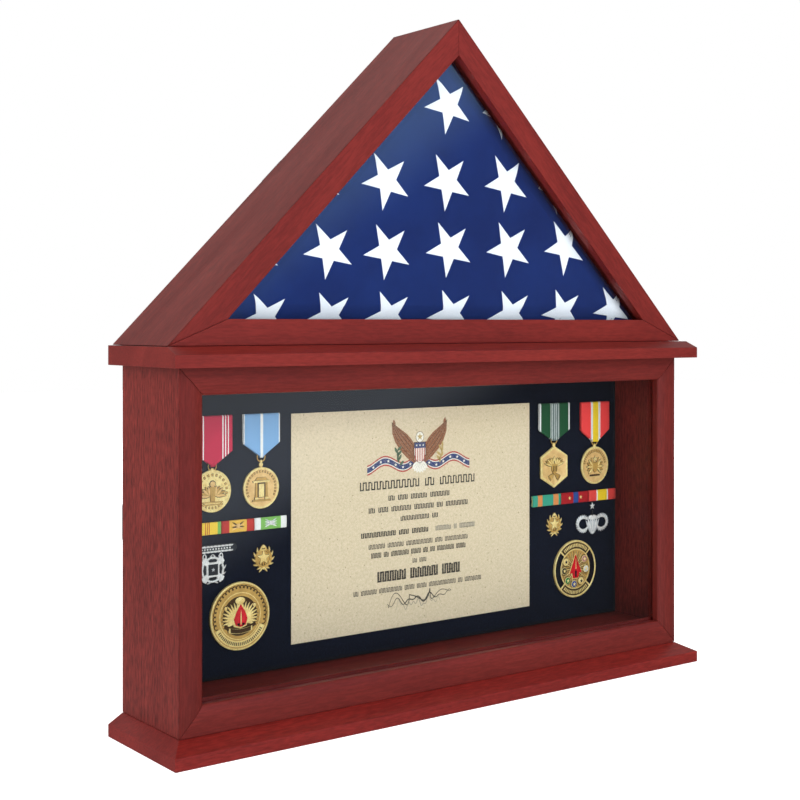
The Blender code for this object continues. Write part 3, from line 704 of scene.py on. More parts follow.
def leaf_outline(x, down, angle, length, width, steps=7):
    """A pointed leaf from its stalk, as an outline in the certificate's plane."""
    points = []
    for side in (1, -1):
        for i in range(steps):
            share = i / steps if side == 1 else 1 - i / steps
            along, across = share * length, side * width / 2 * math.sin(PI * share) ** 0.8
            points.append((x + along * math.cos(angle) - across * math.sin(angle),
                           down - along * math.sin(angle) - across * math.cos(angle)))
    return points


def star_outline(x, down, size):
    return [(x + across, down - up) for across, up in star_points(size, 0.40)]


def draw_plume(sheet, side, middle, brown, shade):
    """One brown plume: its filled outline, shafts, and leaves along its outer edge."""
    outer = np.array([(0.0070, 0.0200), (0.0155, 0.0145), (0.0238, 0.0070), (0.0305, -0.0018), (0.0342, -0.0108),
                      (0.0348, -0.0220)])
    inner = np.array([(0.0062, 0.0120), (0.0072, 0.0), (0.0110, -0.0050), (0.0165, -0.0100), (0.0235, -0.0145),
                      (0.0348, -0.0220)])
    sheet.patch([(side * x, middle + down) for x, down in [*outer, *inner[::-1][1:]]], brown, 4)

    def along(edge, k):
        return np.interp(k, range(6), edge[:, 0]), np.interp(k, range(6), edge[:, 1])

    for share in (0.16, 0.36, 0.56, 0.78):
        shaft = [along(share * outer + (1 - share) * inner, k) for k in np.linspace(0, 5, 16)]
        sheet.stroke([(side * x, middle + down) for x, down in shaft], 0.0007, shade, 5)
    for k in np.linspace(0.6, 4.6, 9):
        x, down = along(outer, k)
        angle = math.radians(38 + 9 * k)
        sheet.patch(leaf_outline(side * (x - 0.0035), middle + down + 0.001, angle if side > 0 else PI - angle,
                                 0.0085, 0.0034), brown, 3)
    foot = ((0.004, 0.008), (0.010, 0.0045), (0.0135, 0.0085), (0.0105, 0.0135), (0.005, 0.0155))
    sheet.patch([(side * x, middle + 0.010 + down) for x, down in foot], brown, 2)


def draw_banner(sheet, side, middle, red, pale, blue):
    """One half of a waving striped ribbon with stars along it."""
    def along(t):
        return side * (0.0065 + 0.0580 * t), middle + 0.0185 + 0.0040 * math.sin(t * 7.9 - 0.3) + 0.0015 * t

    for colour, offset in ((red, -0.0042), (pale, -0.0028), (blue, 0.0), (pale, 0.0028), (red, 0.0042)):
        half, lift = (0.0025, 3) if colour == blue else (0.0008, 2)
        edge = [(x, down + offset) for x, down in map(along, np.linspace(0, 1, 22))]
        for (x0, d0), (x1, d1) in zip(edge, edge[1:]):
            sheet.patch([(x0, d0 - half), (x1, d1 - half), (x1, d1 + half), (x0, d0 + half)], colour, lift)
    for i in range(6):
        sheet.patch(star_outline(*along((i + 0.6) / 6.4), 0.0018), pale, 5)


def draw_crest(sheet, height):
    """A plain shield between two plumes of leaves, over a striped ribbon with a star on top."""
    names = (("brown", "8a5539"), ("dark_brown", "4a2c20"), ("red", "b0413e"), ("blue", "2b3b6b"), ("pale", "ece6d8"),
             ("green", "46604a"), ("straw", "b79a5e"), ("shadow", "b5ac9a"))
    brown, shade, red, blue, pale, green, straw, faint = (sheet.ink(name, colour) for name, colour in names)
    middle = 0.162 * height
    for side in SIDES:
        draw_plume(sheet, side, middle, brown, shade)
        draw_banner(sheet, side, middle, red, pale, blue)
        for i in range(7):
            lean = math.radians(90 + side * (24 - 11 * (i % 3))) + (0.5 if i % 2 else -0.5)
            sheet.patch(leaf_outline(side * (0.0255 + 0.0005 * i), middle + 0.021 - 0.0024 * i, lean, 0.0072, 0.0028),
                        green if side < 0 else straw, 6)
    top, half, drop = middle - 0.0005, 0.0068, 0.0205
    outline = [(x, 2 * top - z) for x, z in shield(0, top, half, drop, 0.6, 0.88)]
    sheet.patch([(1.1 * x, top - 0.0006 + (down - top) * 1.06) for x, down in outline], shade, 8)
    sheet.patch(outline, pale, 9)
    for i in range(5):
        x = -half + (2 * i + 0.55) * half / 5
        sheet.bar(x, top + 0.005, 0.95 * half / 5, drop * (0.62 if i in (0, 4) else 0.68), red, 10)
    sheet.bar(-half, top, 2 * half, 0.0055, blue, 11)
    for i in range(3):
        sheet.patch(star_outline((i - 1) * 0.0042, top + 0.0027, 0.0013), pale, 12)
    for wide, high, ink, lift in ((0.0052, 0.0056, shade, 8), (0.0047, 0.0051, pale, 9)):
        sheet.patch([(wide * x, middle - 0.0060 + high * down) for x, down in ring(1, 20)], ink, lift)
    sheet.patch(star_outline(0, middle - 0.0062, 0.0040), straw, 10)
    foot = middle + 0.0175
    for i, lean in enumerate((-0.9, 0.9, -0.6, 0.6, -0.3, 0.3, 0.0)):
        sheet.patch(leaf_outline(0, foot, -PI / 2 + lean, 0.0128, 0.0050), pale, 6 + 0.1 * i)
        reach = [0.0124 * t for t in (0.2, 0.6, 0.98)]
        sheet.stroke([(r * math.sin(lean), foot + r * math.cos(lean)) for r in reach], 0.0004, faint, 7)


def shield(x, z, half, drop, straight=0.55, turn=0.85):
    """A shield's outline from its top left, with z up. It is straight down to one share of its drop."""
    return [(x - half, z), (x + half, z), (x + half, z - straight * drop), (x + 0.55 * half, z - turn * drop),
            (x, z - drop), (x - 0.55 * half, z - turn * drop), (x - half, z - straight * drop)]


def make_certificate():
    sheet = Print()
    width, height = sheet.hi.x - sheet.lo.x, sheet.hi.z - sheet.lo.z
    draw_crest(sheet, height)
    ink, soft, faint = sheet.ink("black", "2b2623"), sheet.ink("grey", "3d3733"), sheet.ink("faint", "9b917f")
    rng = random.Random(11)
    for down, half, tall, tint, letters, weight in (
            (0.343, 0.245, 0.0084, ink, (11, 2, 7), 0.46), (0.405, 0.130, 0.0050, soft, (2, 3, 5, 6), 0.66),
            (0.455, 0.210, 0.0050, soft, (2, 3, 6, 6, 2, 7), 0.66), (0.503, 0.080, 0.0047, soft, (9, 2), 0.66),
            (0.619, 0.210, 0.0046, soft, (6, 6, 10, 3, 9), 0.6),
            (0.659, 0.200, 0.0050, ink, (4, 2, 7, 4, 2, 2, 7, 4), 0.72), (0.703, 0.030, 0.0043, soft, (2, 3), 0.6),
            (0.759, 0.175, 0.0104, ink, (6, 6, 4), 0.85), (0.822, 0.270, 0.0046, soft, (2, 6, 9, 4, 4, 11, 2, 7), 0.6)):
        sheet.words(down * height - tall / 2, half * width, tall, tint, letters, rng, weight)
    span = 0.240 * width
    for share, tint, letters, weight, middle in ((0.58, ink, (10, 3, 5), 0.75, -0.42),
                                                 (0.36, faint, (5, 1, 5), 0.9, 0.64)):
        sheet.words(0.567 * height - 0.003, share * span, 0.0050, tint, letters, rng, weight, middle * span)
    route = [(0.135 * width * (2 * t - 1), 0.887 * height + 0.0042 * math.sin(31 * t) * math.sin(7 * t + 0.5)
              - 0.003 * t) for t in np.linspace(0, 1, 90)]
    sheet.stroke(route, 0.0013, soft)
    loops = [(x + 0.004 * math.sin(240 * x), down - 0.002 + 0.0032 * math.cos(330 * x)) for x, down in route]
    sheet.stroke(loops, 0.0011, soft)
    sheet.stroke([(x * 0.9, down + 0.004 + 0.002 * math.sin(900 * x)) for x, down in route[8:78]], 0.0010, faint)
    make_piece("certificate_print", BACK, sheet.points, sheet.faces, sheet.inks, tints=sheet.tints)


WORD_GAP = 0.8
make_felt()
make_foam_board()
dress(["certificate"], paper_look("parchment"))
make_certificate()


# ---- Medal ribbons and ribbon bars ----

def arc(y, z, radius_y, radius_z, first, last):
    """Points of a bend in the YZ plane."""
    return [(y + radius_y * math.cos(a), z + radius_z * math.sin(a)) for a in np.linspace(first, last, 7)]


def make_medal_ribbon(name, shoulder, foot, stripes, moire=0.25):
    """One strip of ribbon that goes up behind, over the top and down in front, and is gathered through the ring."""
    node = name + "_ribbon"
    lo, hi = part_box(node)
    middle, half = (lo.x + hi.x) / 2, (hi.x - lo.x) / 2
    front, back, top, tip = lo.y + 0.0003, hi.y - 0.0003, hi.z - 0.0002, lo.z + 0.0004
    bend = (back - front) / 2
    straight = top - tip - 2 * bend
    route = [(back, tip + bend + straight * s) for s in np.linspace(0.0, 1.0, 14)]
    route += arc(front + bend, top - bend, bend, bend, 0.2, PI - 0.2)
    route += [(front, top - bend - straight * s) for s in np.linspace(0.0, 1.0, 40)]
    route += arc(front + bend, tip + bend, -bend, -bend, 0.3, PI - 0.3)
    columns = 29
    points = []
    for y, z in route:
        share = min(1.0, max(0.0, (z - tip - 0.0015) / (shoulder - tip - 0.0015)))
        wide = foot + (half - foot) * share
        for across in (2 * j / (columns - 1) - 1 for j in range(columns)):
            pleat = 0.00045 * math.cos(across * 9.0) * (1 - share) ** 2
            cup = 0.00025 * across ** 2 * share
            points.append((middle + across * wide, y + (pleat + cup) * (1 if y < front + bend else -1), z))
    look = striped_look(name + "_cloth", middle - half, 2 * half, stripes, moire=moire)
    ribbon = make_piece(node + "_cloth", BACK, points, grid_faces(len(route), columns), [look], [node],
                        corner=70.0)
    modify(ribbon, "SOLIDIFY", thickness=0.00045, offset=0.0)


def make_ribbon_bar(node, edges, looks):
    """Ribbons wrapped side by side over one metal bar. edges are where they begin and end."""
    lo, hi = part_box(node)
    front, back = lo.y + 0.0001, hi.y - 0.0003
    route = [(back, lo.z + 0.004), (back, lo.z + 0.0012), (back - 0.0005, lo.z + 0.0003),
             (front + 0.0009, lo.z + 0.0001), (front + 0.0003, lo.z + 0.0004)]
    route += [(front + 0.00022 * (2 * share - 1) ** 2, lo.z + (hi.z - lo.z) * share)
              for share in np.linspace(0.08, 0.92, 12)]
    route += [(y, lo.z + hi.z - z) for y, z in route[4::-1]]
    columns = 13
    for index, (start, end, stripes) in enumerate(zip(edges, edges[1:], looks)):
        points = [(start + 0.00015 + (end - start - 0.0003) * share, y + 0.0002 * abs(2 * share - 1) ** 6, z)
                  for y, z in route for share in (j / (columns - 1) for j in range(columns))]
        name = f"{node}_cloth_{index + 1}"
        look = striped_look(name + "_look", start, end - start, stripes, 0.0006, 0.15)
        cloth = make_piece(name, BACK, points, grid_faces(len(route), columns), [look],
                           [node] if index == 0 else (), corner=70.0)
        modify(cloth, "SOLIDIFY", thickness=0.0003, offset=0.0)
    outline = round_outline([(lo.x, lo.z), (hi.x, lo.z), (hi.x, hi.z), (lo.x, hi.z)], 6)
    plate = [(x * 0.9988 + 0.0012 * (lo.x + hi.x) / 2, y, z + (0.0008 if z < (lo.z + hi.z) / 2 else -0.0008))
             for y in (front + 0.0009, back - 0.0008) for x, z in outline]
    faces = grid_faces(2, len(outline), closed_columns=True) + caps(2, len(outline))
    make_piece(node + "_plate", BACK, plate, faces, [bright_gold])


# Copies of one gold from light to dark. On the medals and badges the light copy stands for a painted highlight, and the
# middle and dark copies stand for painted shade on the relief.
bright_gold = metal_look("bright_gold", "ffe89f", "e8bb64", 0.30, 0.25, 0.65)
shaded_gold = metal_look("shaded_gold", "d9ac5c", "9e7838", 0.40, 0.25, 0.6)
dark_gold = metal_look("dark_gold", "54391b", "2b1d0c", 0.5, 0.3)
bronze = metal_look("medal_bronze", "f8d08c", "d6a25c", 0.36, 0.25, 0.65)

WHITE, YELLOW, GOLDEN, GREY, LIGHT_BLUE = "ecebe6", "ecc62a", "f0c93a", "8d8f95", "80acd6"
CRIMSON, VERMILION, BRICK, GREEN = "c62044", "ee4543", "e0473f", "1f5231"
SCARLET, GRASS, TEAL, ORANGE, CARMINE = "bd3328", "80b95a", "3b9c80", "d8894c", "a8191f"
make_medal_ribbon("crimson", 0.2490, 0.0022, [
    (0.0, CRIMSON), (0.094, WHITE), (0.120, CRIMSON), (0.167, WHITE), (0.193, CRIMSON), (0.237, WHITE),
    (0.263, CRIMSON), (0.737, WHITE), (0.763, CRIMSON), (0.807, WHITE), (0.833, CRIMSON), (0.880, WHITE),
    (0.906, CRIMSON)])
make_medal_ribbon("light_blue", 0.2545, 0.0018, [
    (0.0, WHITE), (0.035, LIGHT_BLUE), (0.455, WHITE), (0.53, LIGHT_BLUE), (0.965, WHITE)], 0.5)
make_medal_ribbon("green", 0.2495, 0.0046, [
    (0.0, WHITE), (0.045, GREEN), (0.355, "c9cdc8"), (0.375, "6f7f76"), (0.41, "d9dbd8"), (0.425, "5d6d66"),
    (0.47, "cfd2cf"), (0.485, "70807a"), (0.535, "dadcd9"), (0.55, "5d6d66"), (0.60, "c9cdc8"), (0.62, "6f7f76"),
    (0.655, GREEN), (0.955, WHITE)])
make_medal_ribbon("red", 0.2470, 0.0046, [
    (0.0, VERMILION), (0.335, WHITE), (0.36, GREY), (0.375, WHITE), (0.40, YELLOW), (0.60, WHITE), (0.625, GREY),
    (0.64, WHITE), (0.665, VERMILION)])

left_bar, right_bar = (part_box(side + "_ribbon_bar") for side in ("left", "right"))
LEFT_PITCH, RIGHT_PITCH = 0.0348, (right_bar[1].x - right_bar[0].x) / 3
make_ribbon_bar("left_ribbon_bar", [left_bar[0].x, *(left_bar[1].x - LEFT_PITCH * k for k in (2, 1, 0))], [
    [(0.0, GRASS), (0.12, GOLDEN), (0.60, SCARLET), (0.618, GOLDEN), (0.645, SCARLET), (0.663, GOLDEN),
     (0.69, SCARLET), (0.708, GOLDEN), (0.91, GRASS)],
    [(0.0, SCARLET), (0.24, "e6b549"), (0.76, SCARLET)],
    [(0.0, WHITE), (0.19, GRASS), (0.81, WHITE)]])
make_ribbon_bar("right_ribbon_bar", [right_bar[0].x + RIGHT_PITCH * k for k in range(4)], [
    [(0.0, TEAL), (0.18, ORANGE), (0.34, TEAL), (0.72, ORANGE), (0.90, TEAL)],
    [(0.0, CARMINE), (0.43, "2d4a8a"), (0.61, CARMINE)],
    [(0.0, BRICK), (0.28, WHITE), (0.32, YELLOW), (0.66, WHITE), (0.70, BRICK)]])


# ---- Cast and struck metalwork ----

def mirrored(side, angle):
    """The angle, or on the left its mirror image."""
    return angle if side > 0 else PI - angle


class Cast:
    """Metalwork seen from the front, in millimetres: x and z from a centre, and out from a back plane towards the
    viewer. Only the centre and the back plane are in metres. line is the tint painted round the feet of raised
    shapes, as painted shade where they rise from the surface below."""

    def __init__(self, centre, back, line=None):
        self.centre, self.back, self.line = centre, back, line
        self.spread = 0.0 if line is None else FOOT_WIDTH
        self.points, self.faces, self.tints = [], [], []

    def add(self, points, faces, tint):
        start = len(self.points)
        self.points += [(self.centre[0] + x * MM, self.back - out * MM, self.centre[1] + z * MM)
                        for x, z, out in points]
        self.faces += [tuple(start + k for k in face) for face in faces]
        self.tints += tint if isinstance(tint, list) else [tint] * len(faces)

    # The tint of a shape's foot: the painted shade where there is one, else the shape's own tint.
    def foot(self, tint):
        return tint if self.line is None else self.line

    def stack(self, rings, tint):
        """Rings of equal count from the base to the top, closed by a point in the middle of the last."""
        count = len(rings[0])
        tip = tuple(sum(p[k] for p in rings[-1]) / count for k in range(3))
        faces = grid_faces(len(rings), count, closed_columns=True)
        faces += fan_faces((len(rings) - 1) * count, count, len(rings) * count)
        faces.append(tuple(range(count))[::-1])
        # The faces round the foot take the painted shade.
        self.add([*flat(rings), tip], faces, [self.foot(tint)] * count + [tint] * (len(faces) - count))

    def plaque(self, reach, profile, count=96):
        """A turned or polygonal disc. profile lists share of the reach, height, and tint of what follows inwards."""
        rings = [[(*polar(share * reach(a), a), out) for a in (TAU * i / count for i in range(count))]
                 for share, out, _ in profile]
        faces = [tuple(range(count))[::-1], *grid_faces(len(rings), count, closed_columns=True),
                 *fan_faces((len(rings) - 1) * count, count, len(rings) * count)]
        tints = [profile[0][2], *(tint for _, _, tint in profile for _ in range(count))]
        self.add([*flat(rings), (0, 0, profile[-1][1])], faces, tints)

    def leaf(self, x, z, angle, length, width, base, height, tint, bow=0.0, steps=9):
        """A pointed leaf or feather from its root, with a raised midrib. bow curves it sideways."""
        rows = []
        for t in (i / (steps - 1) for i in range(steps)):
            wide = width / 2 * (math.sin(PI * min(1.0, 0.06 + 0.94 * t)) ** 0.7) * (1.0 - 0.25 * t)
            foot = 1.0 + self.spread / wide
            arch = height * (0.35 + 0.65 * math.sin(PI * min(0.92, 0.12 + t * 0.88)))
            row = []
            for share, lift in ((-foot, 0), (-0.85, 0.5), (-0.4, 0.8), (0, 1), (0.4, 0.8), (0.85, 0.5), (foot, 0)):
                u, v = t * length, bow * length * math.sin(PI * t / 2) ** 2 + share * wide
                row.append((x + u * math.cos(angle) - v * math.sin(angle),
                            z + u * math.sin(angle) + v * math.cos(angle), base + arch * lift))
            rows.append(row)
        # The strips along both edges of the leaf take the painted shade.
        tints = [self.foot(tint) if column in (0, 5) else tint for _ in range(steps - 1) for column in range(6)]
        self.add(flat(rows), grid_faces(steps, 7), tints)

    def star(self, x, z, size, base, height, tint):
        """A faceted star that rises to its middle."""
        rings = [[(x + share * u, z + share * v, out) for u, v in star_points(size, 0.42)]
                 for share, out in ((1.0 + 1.6 * self.spread / size, base), (0.96, base + 0.35 * height))]
        self.stack([*rings, [(x, z, base + height)] * 10], tint)

    def dome(self, x, z, radius, base, height, tint, count=14, stretch=1.0):
        rings = []
        for share in (0.0, 0.3, 0.6, 0.85):
            wide = radius * math.cos(share * PI / 2) + (0.0 if share else self.spread)
            rings.append([(x + u, z + stretch * v, base + height * math.sin(share * PI / 2))
                          for u, v in ring(wide, count)])
        self.stack([*rings, [(x, z, base + height)] * count], tint)

    def slab(self, outline, base, height, tint, ease=0.90):
        """A flat raised shape with its edge eased."""
        x, z = (sum(p[k] for p in outline) / len(outline) for k in (0, 1))
        foot = 1.0 + self.spread / max(math.dist(p, (x, z)) for p in outline)
        self.stack([[(x + share * (px - x), z + share * (pz - z), out) for px, pz in outline]
                    for share, out in ((foot, base), (1.0, base + 0.5 * height), (ease, base + height))], tint)

    def block(self, low_half, low, high_half, high, *rest):
        """A slab with level ends, that far to each side of the middle."""
        self.slab([(-low_half, low), (low_half, low), (high_half, high), (-high_half, high)], *rest)

    def tube(self, route, radius, base, tint, closed=False, twist=0.0, press=1.0):
        """A round wire along points in the front plane. twist makes it a two-strand rope."""
        count, sides = len(route), 8
        rows = []
        for i, (x, z) in enumerate(route):
            before, after = (route[i - 1], route[(i + 1) % count]) if closed else (
                route[max(0, i - 1)], route[min(count - 1, i + 1)])
            angle = math.atan2(after[1] - before[1], after[0] - before[0])
            row = []
            for a in (TAU * k / sides for k in range(sides)):
                wire = radius * (1.0 + (0.28 * math.cos(2 * a + twist * i) if twist else 0.0))
                across, out = polar(wire, a)
                row.append((x - across * math.sin(angle), z + across * math.cos(angle), base + out * press))
            rows.append(row)
        faces = grid_faces(count, sides, closed_rows=closed, closed_columns=True)
        self.add(flat(rows), faces if closed else faces + caps(count, sides), tint)

    def band(self, inner, outer, first, last, base, height, tint, steps=28):
        """A flat raised arc between two radii."""
        rows = [[(*polar(r, a), out) for a in np.linspace(first, last, steps + 1)]
                for r, out in ((outer, base), (outer, base + height), (inner, base + height), (inner, base))]
        self.add(flat(rows), grid_faces(4, steps + 1), tint)

    def dashes(self, inner, outer, count, first, last, base, height, tint, fill):
        """Short raised bars side by side along an arc, as blank lettering."""
        pitch = (last - first) / count
        for i in range(count):
            a, b = (first + (i + 0.5 + side * fill / 2) * pitch for side in SIDES)
            self.slab([polar(inner, a), polar(outer, a), polar(outer, b), polar(inner, b)], base, height, tint, 0.8)

    def spray(self, side, base, height, tint, reach, leaves, start, end, size):
        """A curved branch of leaves up one side of a medal of that reach."""
        for a in (start + (end - start) * i / (leaves - 1) for i in range(leaves)):
            x, z = polar(reach, a)
            for lean in (-0.55, 0.50):
                self.leaf(side * x, z, mirrored(side, a + PI / 2 + lean), size * reach, 0.42 * size * reach, base,
                          height, tint, steps=6)

    def fan(self, side, count, x, z, first, step, length, fade, width, base, height, tints, bow=0.0):
        """Leaves from one root, the first at that many degrees, and each shorter than the last by fade."""
        for i in range(count):
            self.leaf(side * x, z, mirrored(side, math.radians(first + step * i)), length - fade * i, width, base,
                      height, tints[i % 2], bow * side)

    def build(self, name, body, materials, slot, stands_for=()):
        make_piece(name, body, self.points, self.faces, materials, stands_for, self.tints, 38.0)


# FOOT_WIDTH is how far, in millimetres, the painted shade reaches round the foot of a raised shape.
MM, FOOT_WIDTH = 0.001, 0.45
GOLDS = [shaded_gold, bright_gold, dark_gold, bronze]
# The bright tint paints highlights on the relief, and the middle and dark tints paint shade.
SHADED, BRIGHT, DARK, BRONZE = range(4)
# dark_silver colours the dark parts of the silver badges and is also the painted shade round the feet of raised shapes.
SILVERS = [metal_look("bright_silver", "fbf8f3", "c6c2bc", 0.3, 0.3),
           metal_look("dark_silver", "3a3b40", "17181c", 0.45, 0.5),
           metal_look("satin_silver", "dededd", "a9aaab", 0.42, 0.4)]
POLISHED, DARK_SILVER, SATIN = range(3)
ENAMELS = [enamel_look(name + "_enamel", colour) for name, colour in (
    ("red", "dc1a26"), ("black", "14161b"), ("blue", "2b4fa0"), ("green", "2f8b46"), ("white", "e9e7de"),
    ("rose", "cf8f8a"))]
ENAMELS.insert(1, bright_gold)
RED, GILT, BLACK, BLUE, LEAF_GREEN, PALE, ROSE = range(7)


def circle_reach(radius):
    return lambda angle: radius


def hexagon_reach(radius):
    """Radius to a hexagon with a point at the top."""
    return lambda angle: radius * math.cos(PI / 6) / math.cos((angle - PI / 2) % (PI / 3) - PI / 6)


def start_cast(node, line):
    """A casting on the middle of a node, with half the node's width and its thickness."""
    lo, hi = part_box(node)
    return Cast(((lo.x + hi.x) / 2, (lo.z + hi.z) / 2), hi.y, line), (hi.x - lo.x) / 2 / MM, (hi.y - lo.y) / MM


def start_pendant(name, reach, radius, field, rim=0.10):
    """A medal's disc or hexagon, its neck and its suspension ring, with a raised rim round a sunk field."""
    node = name + "_pendant"
    lo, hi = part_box(node)
    cast, _, thick = start_cast(node, DARK)
    cast.centre = (cast.centre[0], lo.z + radius * MM)
    cast.plaque(reach(radius), [
        (0.96, 0.0, field), (1.0, 0.4, BRIGHT), (1.0, thick - 0.6, BRIGHT), (0.975, thick - 0.1, BRIGHT),
        (1 - 0.6 * rim, thick, BRIGHT), (1 - rim, thick - 0.4, field), (0.98 - rim, thick - FIELD_SUNK, field)])
    ring_z = (hi.z - cast.centre[1]) / MM - RING_OUTER
    cast.tube(ring(RING_CENTRE, 28, 0.0, ring_z), RING_OUTER - RING_CENTRE, thick / 2, SHADED, closed=True)
    neck = ring_z - RING_OUTER - radius
    cast.dome(0, radius + neck / 2, 2.4, 0.3, thick - 0.4, BRIGHT, 12, 1.1)
    cast.dome(0, radius + neck + 0.8, 1.5, 0.6, thick - 1.0, BRIGHT, 12)
    return cast, thick - FIELD_SUNK, node


def finish_pendant(cast, node):
    cast.build(node.replace("pendant", "medal"), node, GOLDS, "gold_metal", [node])


RING_OUTER, RING_CENTRE, FIELD_SUNK = 4.7, 4.15, 0.7


def make_crimson_medal():
    """A torch-like column between two sprays of leaves, on a plain ledge, with dashes round the edge."""
    cast, top, node = start_pendant("crimson", circle_reach, 19.0, BRIGHT)
    cast.dashes(13.8, 15.6, 13, -0.30, PI + 0.30, top, 0.4, SHADED, 0.36)
    for side in SIDES:
        cast.fan(side, 5, 3.0, -4.0, -12, 21, 11.2, 0.6, 3.4, top, 1.0, (BRONZE, SHADED), 0.16)
    cast.block(2.4, -9.2, 3.0, 4.0, top, 1.0, SHADED)
    cast.dome(0, 6.4, 3.0, top, 1.1, BRONZE)
    for low in (-12.8, -10.6):
        cast.block(10.5, low, 10.2, low + 1.2, top, 0.5, SHADED)
    cast.dashes(14.2, 15.8, 7, PI + 0.80, TAU - 0.80, top, 0.4, SHADED, 0.36)
    finish_pendant(cast, node)


def make_light_blue_medal():
    """A plain stone gateway on steps, inside a ring of dashes."""
    cast, top, node = start_pendant("light_blue", circle_reach, 19.0, BRONZE)
    cast.dashes(14.6, 16.0, 22, -0.55, PI + 0.55, top, 0.5, SHADED, 0.4)
    for side in SIDES:
        pillar = ((4.2, -8.5), (7.0, -8.5), (6.6, 5.0), (4.4, 5.0))
        plinth = ((7.4, -10.4), (3.6, -10.4), (3.8, -8.5), (7.3, -8.5))
        cast.slab([(side * x, z) for x, z in pillar], top, 0.8, SHADED, 0.82)
        cast.slab([(side * x, z) for x, z in plinth], top, 1.0, BRIGHT)
    for low_half, low, high_half, high, rise, tint, ease in (
            (8.6, 5.0, 9.2, 6.8, 1.0, BRIGHT, 0.9), (7.0, 7.0, 4.5, 9.8, 0.7, SHADED, 0.9),
            (9.8, -12.4, 9.2, -10.6, 0.8, SHADED, 0.9), (3.8, -8.5, 3.8, 4.8, 0.3, DARK, 0.95),
            (2.9, -8.4, 2.9, 3.8, 0.5, BRIGHT, 0.95)):
        cast.block(low_half, low, high_half, high, top, rise, tint, ease)
    finish_pendant(cast, node)


def make_green_medal():
    """A bevelled hexagon with a shield under two spread sprays."""
    cast, top, node = start_pendant("green", hexagon_reach, 22.5, BRONZE, 0.13)
    for side in SIDES:
        cast.fan(side, 7, 2.6, 1.2, 8, 15, 12.4, 0.9, 2.8, top, 1.2, (BRIGHT, SHADED), 0.10)
        cast.fan(side, 4, 1.0, -7.8, -18, -13, 8.6, 0.0, 2.0, top, 0.7, (SHADED, SHADED))
    cast.slab(shield(0, 3.5, 4.2, 12.0), top, 1.2, SHADED)
    for k in (-1, 0, 1):
        cast.tube([(2.2 * k, 1.0 - 1.2 * j) for j in range(6)], 0.45, top + 1.2, DARK)
    cast.star(0, 7.8, 3.6, top, 1.2, BRIGHT)
    finish_pendant(cast, node)


def make_red_medal():
    """Dashes over an arc of the rim, and a shield on a fan of leaves."""
    cast, top, node = start_pendant("red", circle_reach, 20.5, BRONZE)
    cast.dashes(14.8, 17.0, 19, 0.10, PI - 0.10, top, 0.6, SHADED, 0.45)
    for side in SIDES:
        cast.fan(side, 6, 2.6, -1.5, -52, 24, 10.6, 0.0, 3.3, top, 1.2, (BRIGHT, SHADED), 0.08)
    cast.slab(shield(0, 3.2, 4.0, 11.2), top, 1.2, SHADED)
    cast.star(0, 7.0, 3.4, top, 1.2, BRIGHT)
    cast.block(7.8, -11.8, 7.0, -10.0, top, 0.7, DARK)
    finish_pendant(cast, node)


def start_coin(node, edge):
    cast, radius, thick = start_cast(node, DARK)
    cast.plaque(circle_reach(radius), [
        (0.985, 0.0, SHADED), (1.0, 0.5, BRIGHT), (1.0, thick - 0.6, BRIGHT), (0.985, thick - 0.1, BRIGHT),
        (0.965, thick, BRIGHT), (0.945, thick - 0.4, edge), (0.935, thick - 0.9, edge), (0.70, thick - 0.9, BRIGHT),
        (0.69, thick - 0.5, BRIGHT), (0.67, thick - 0.5, SHADED), (0.66, thick - 1.0, SHADED)], 128)
    return cast, radius, thick - 1.0


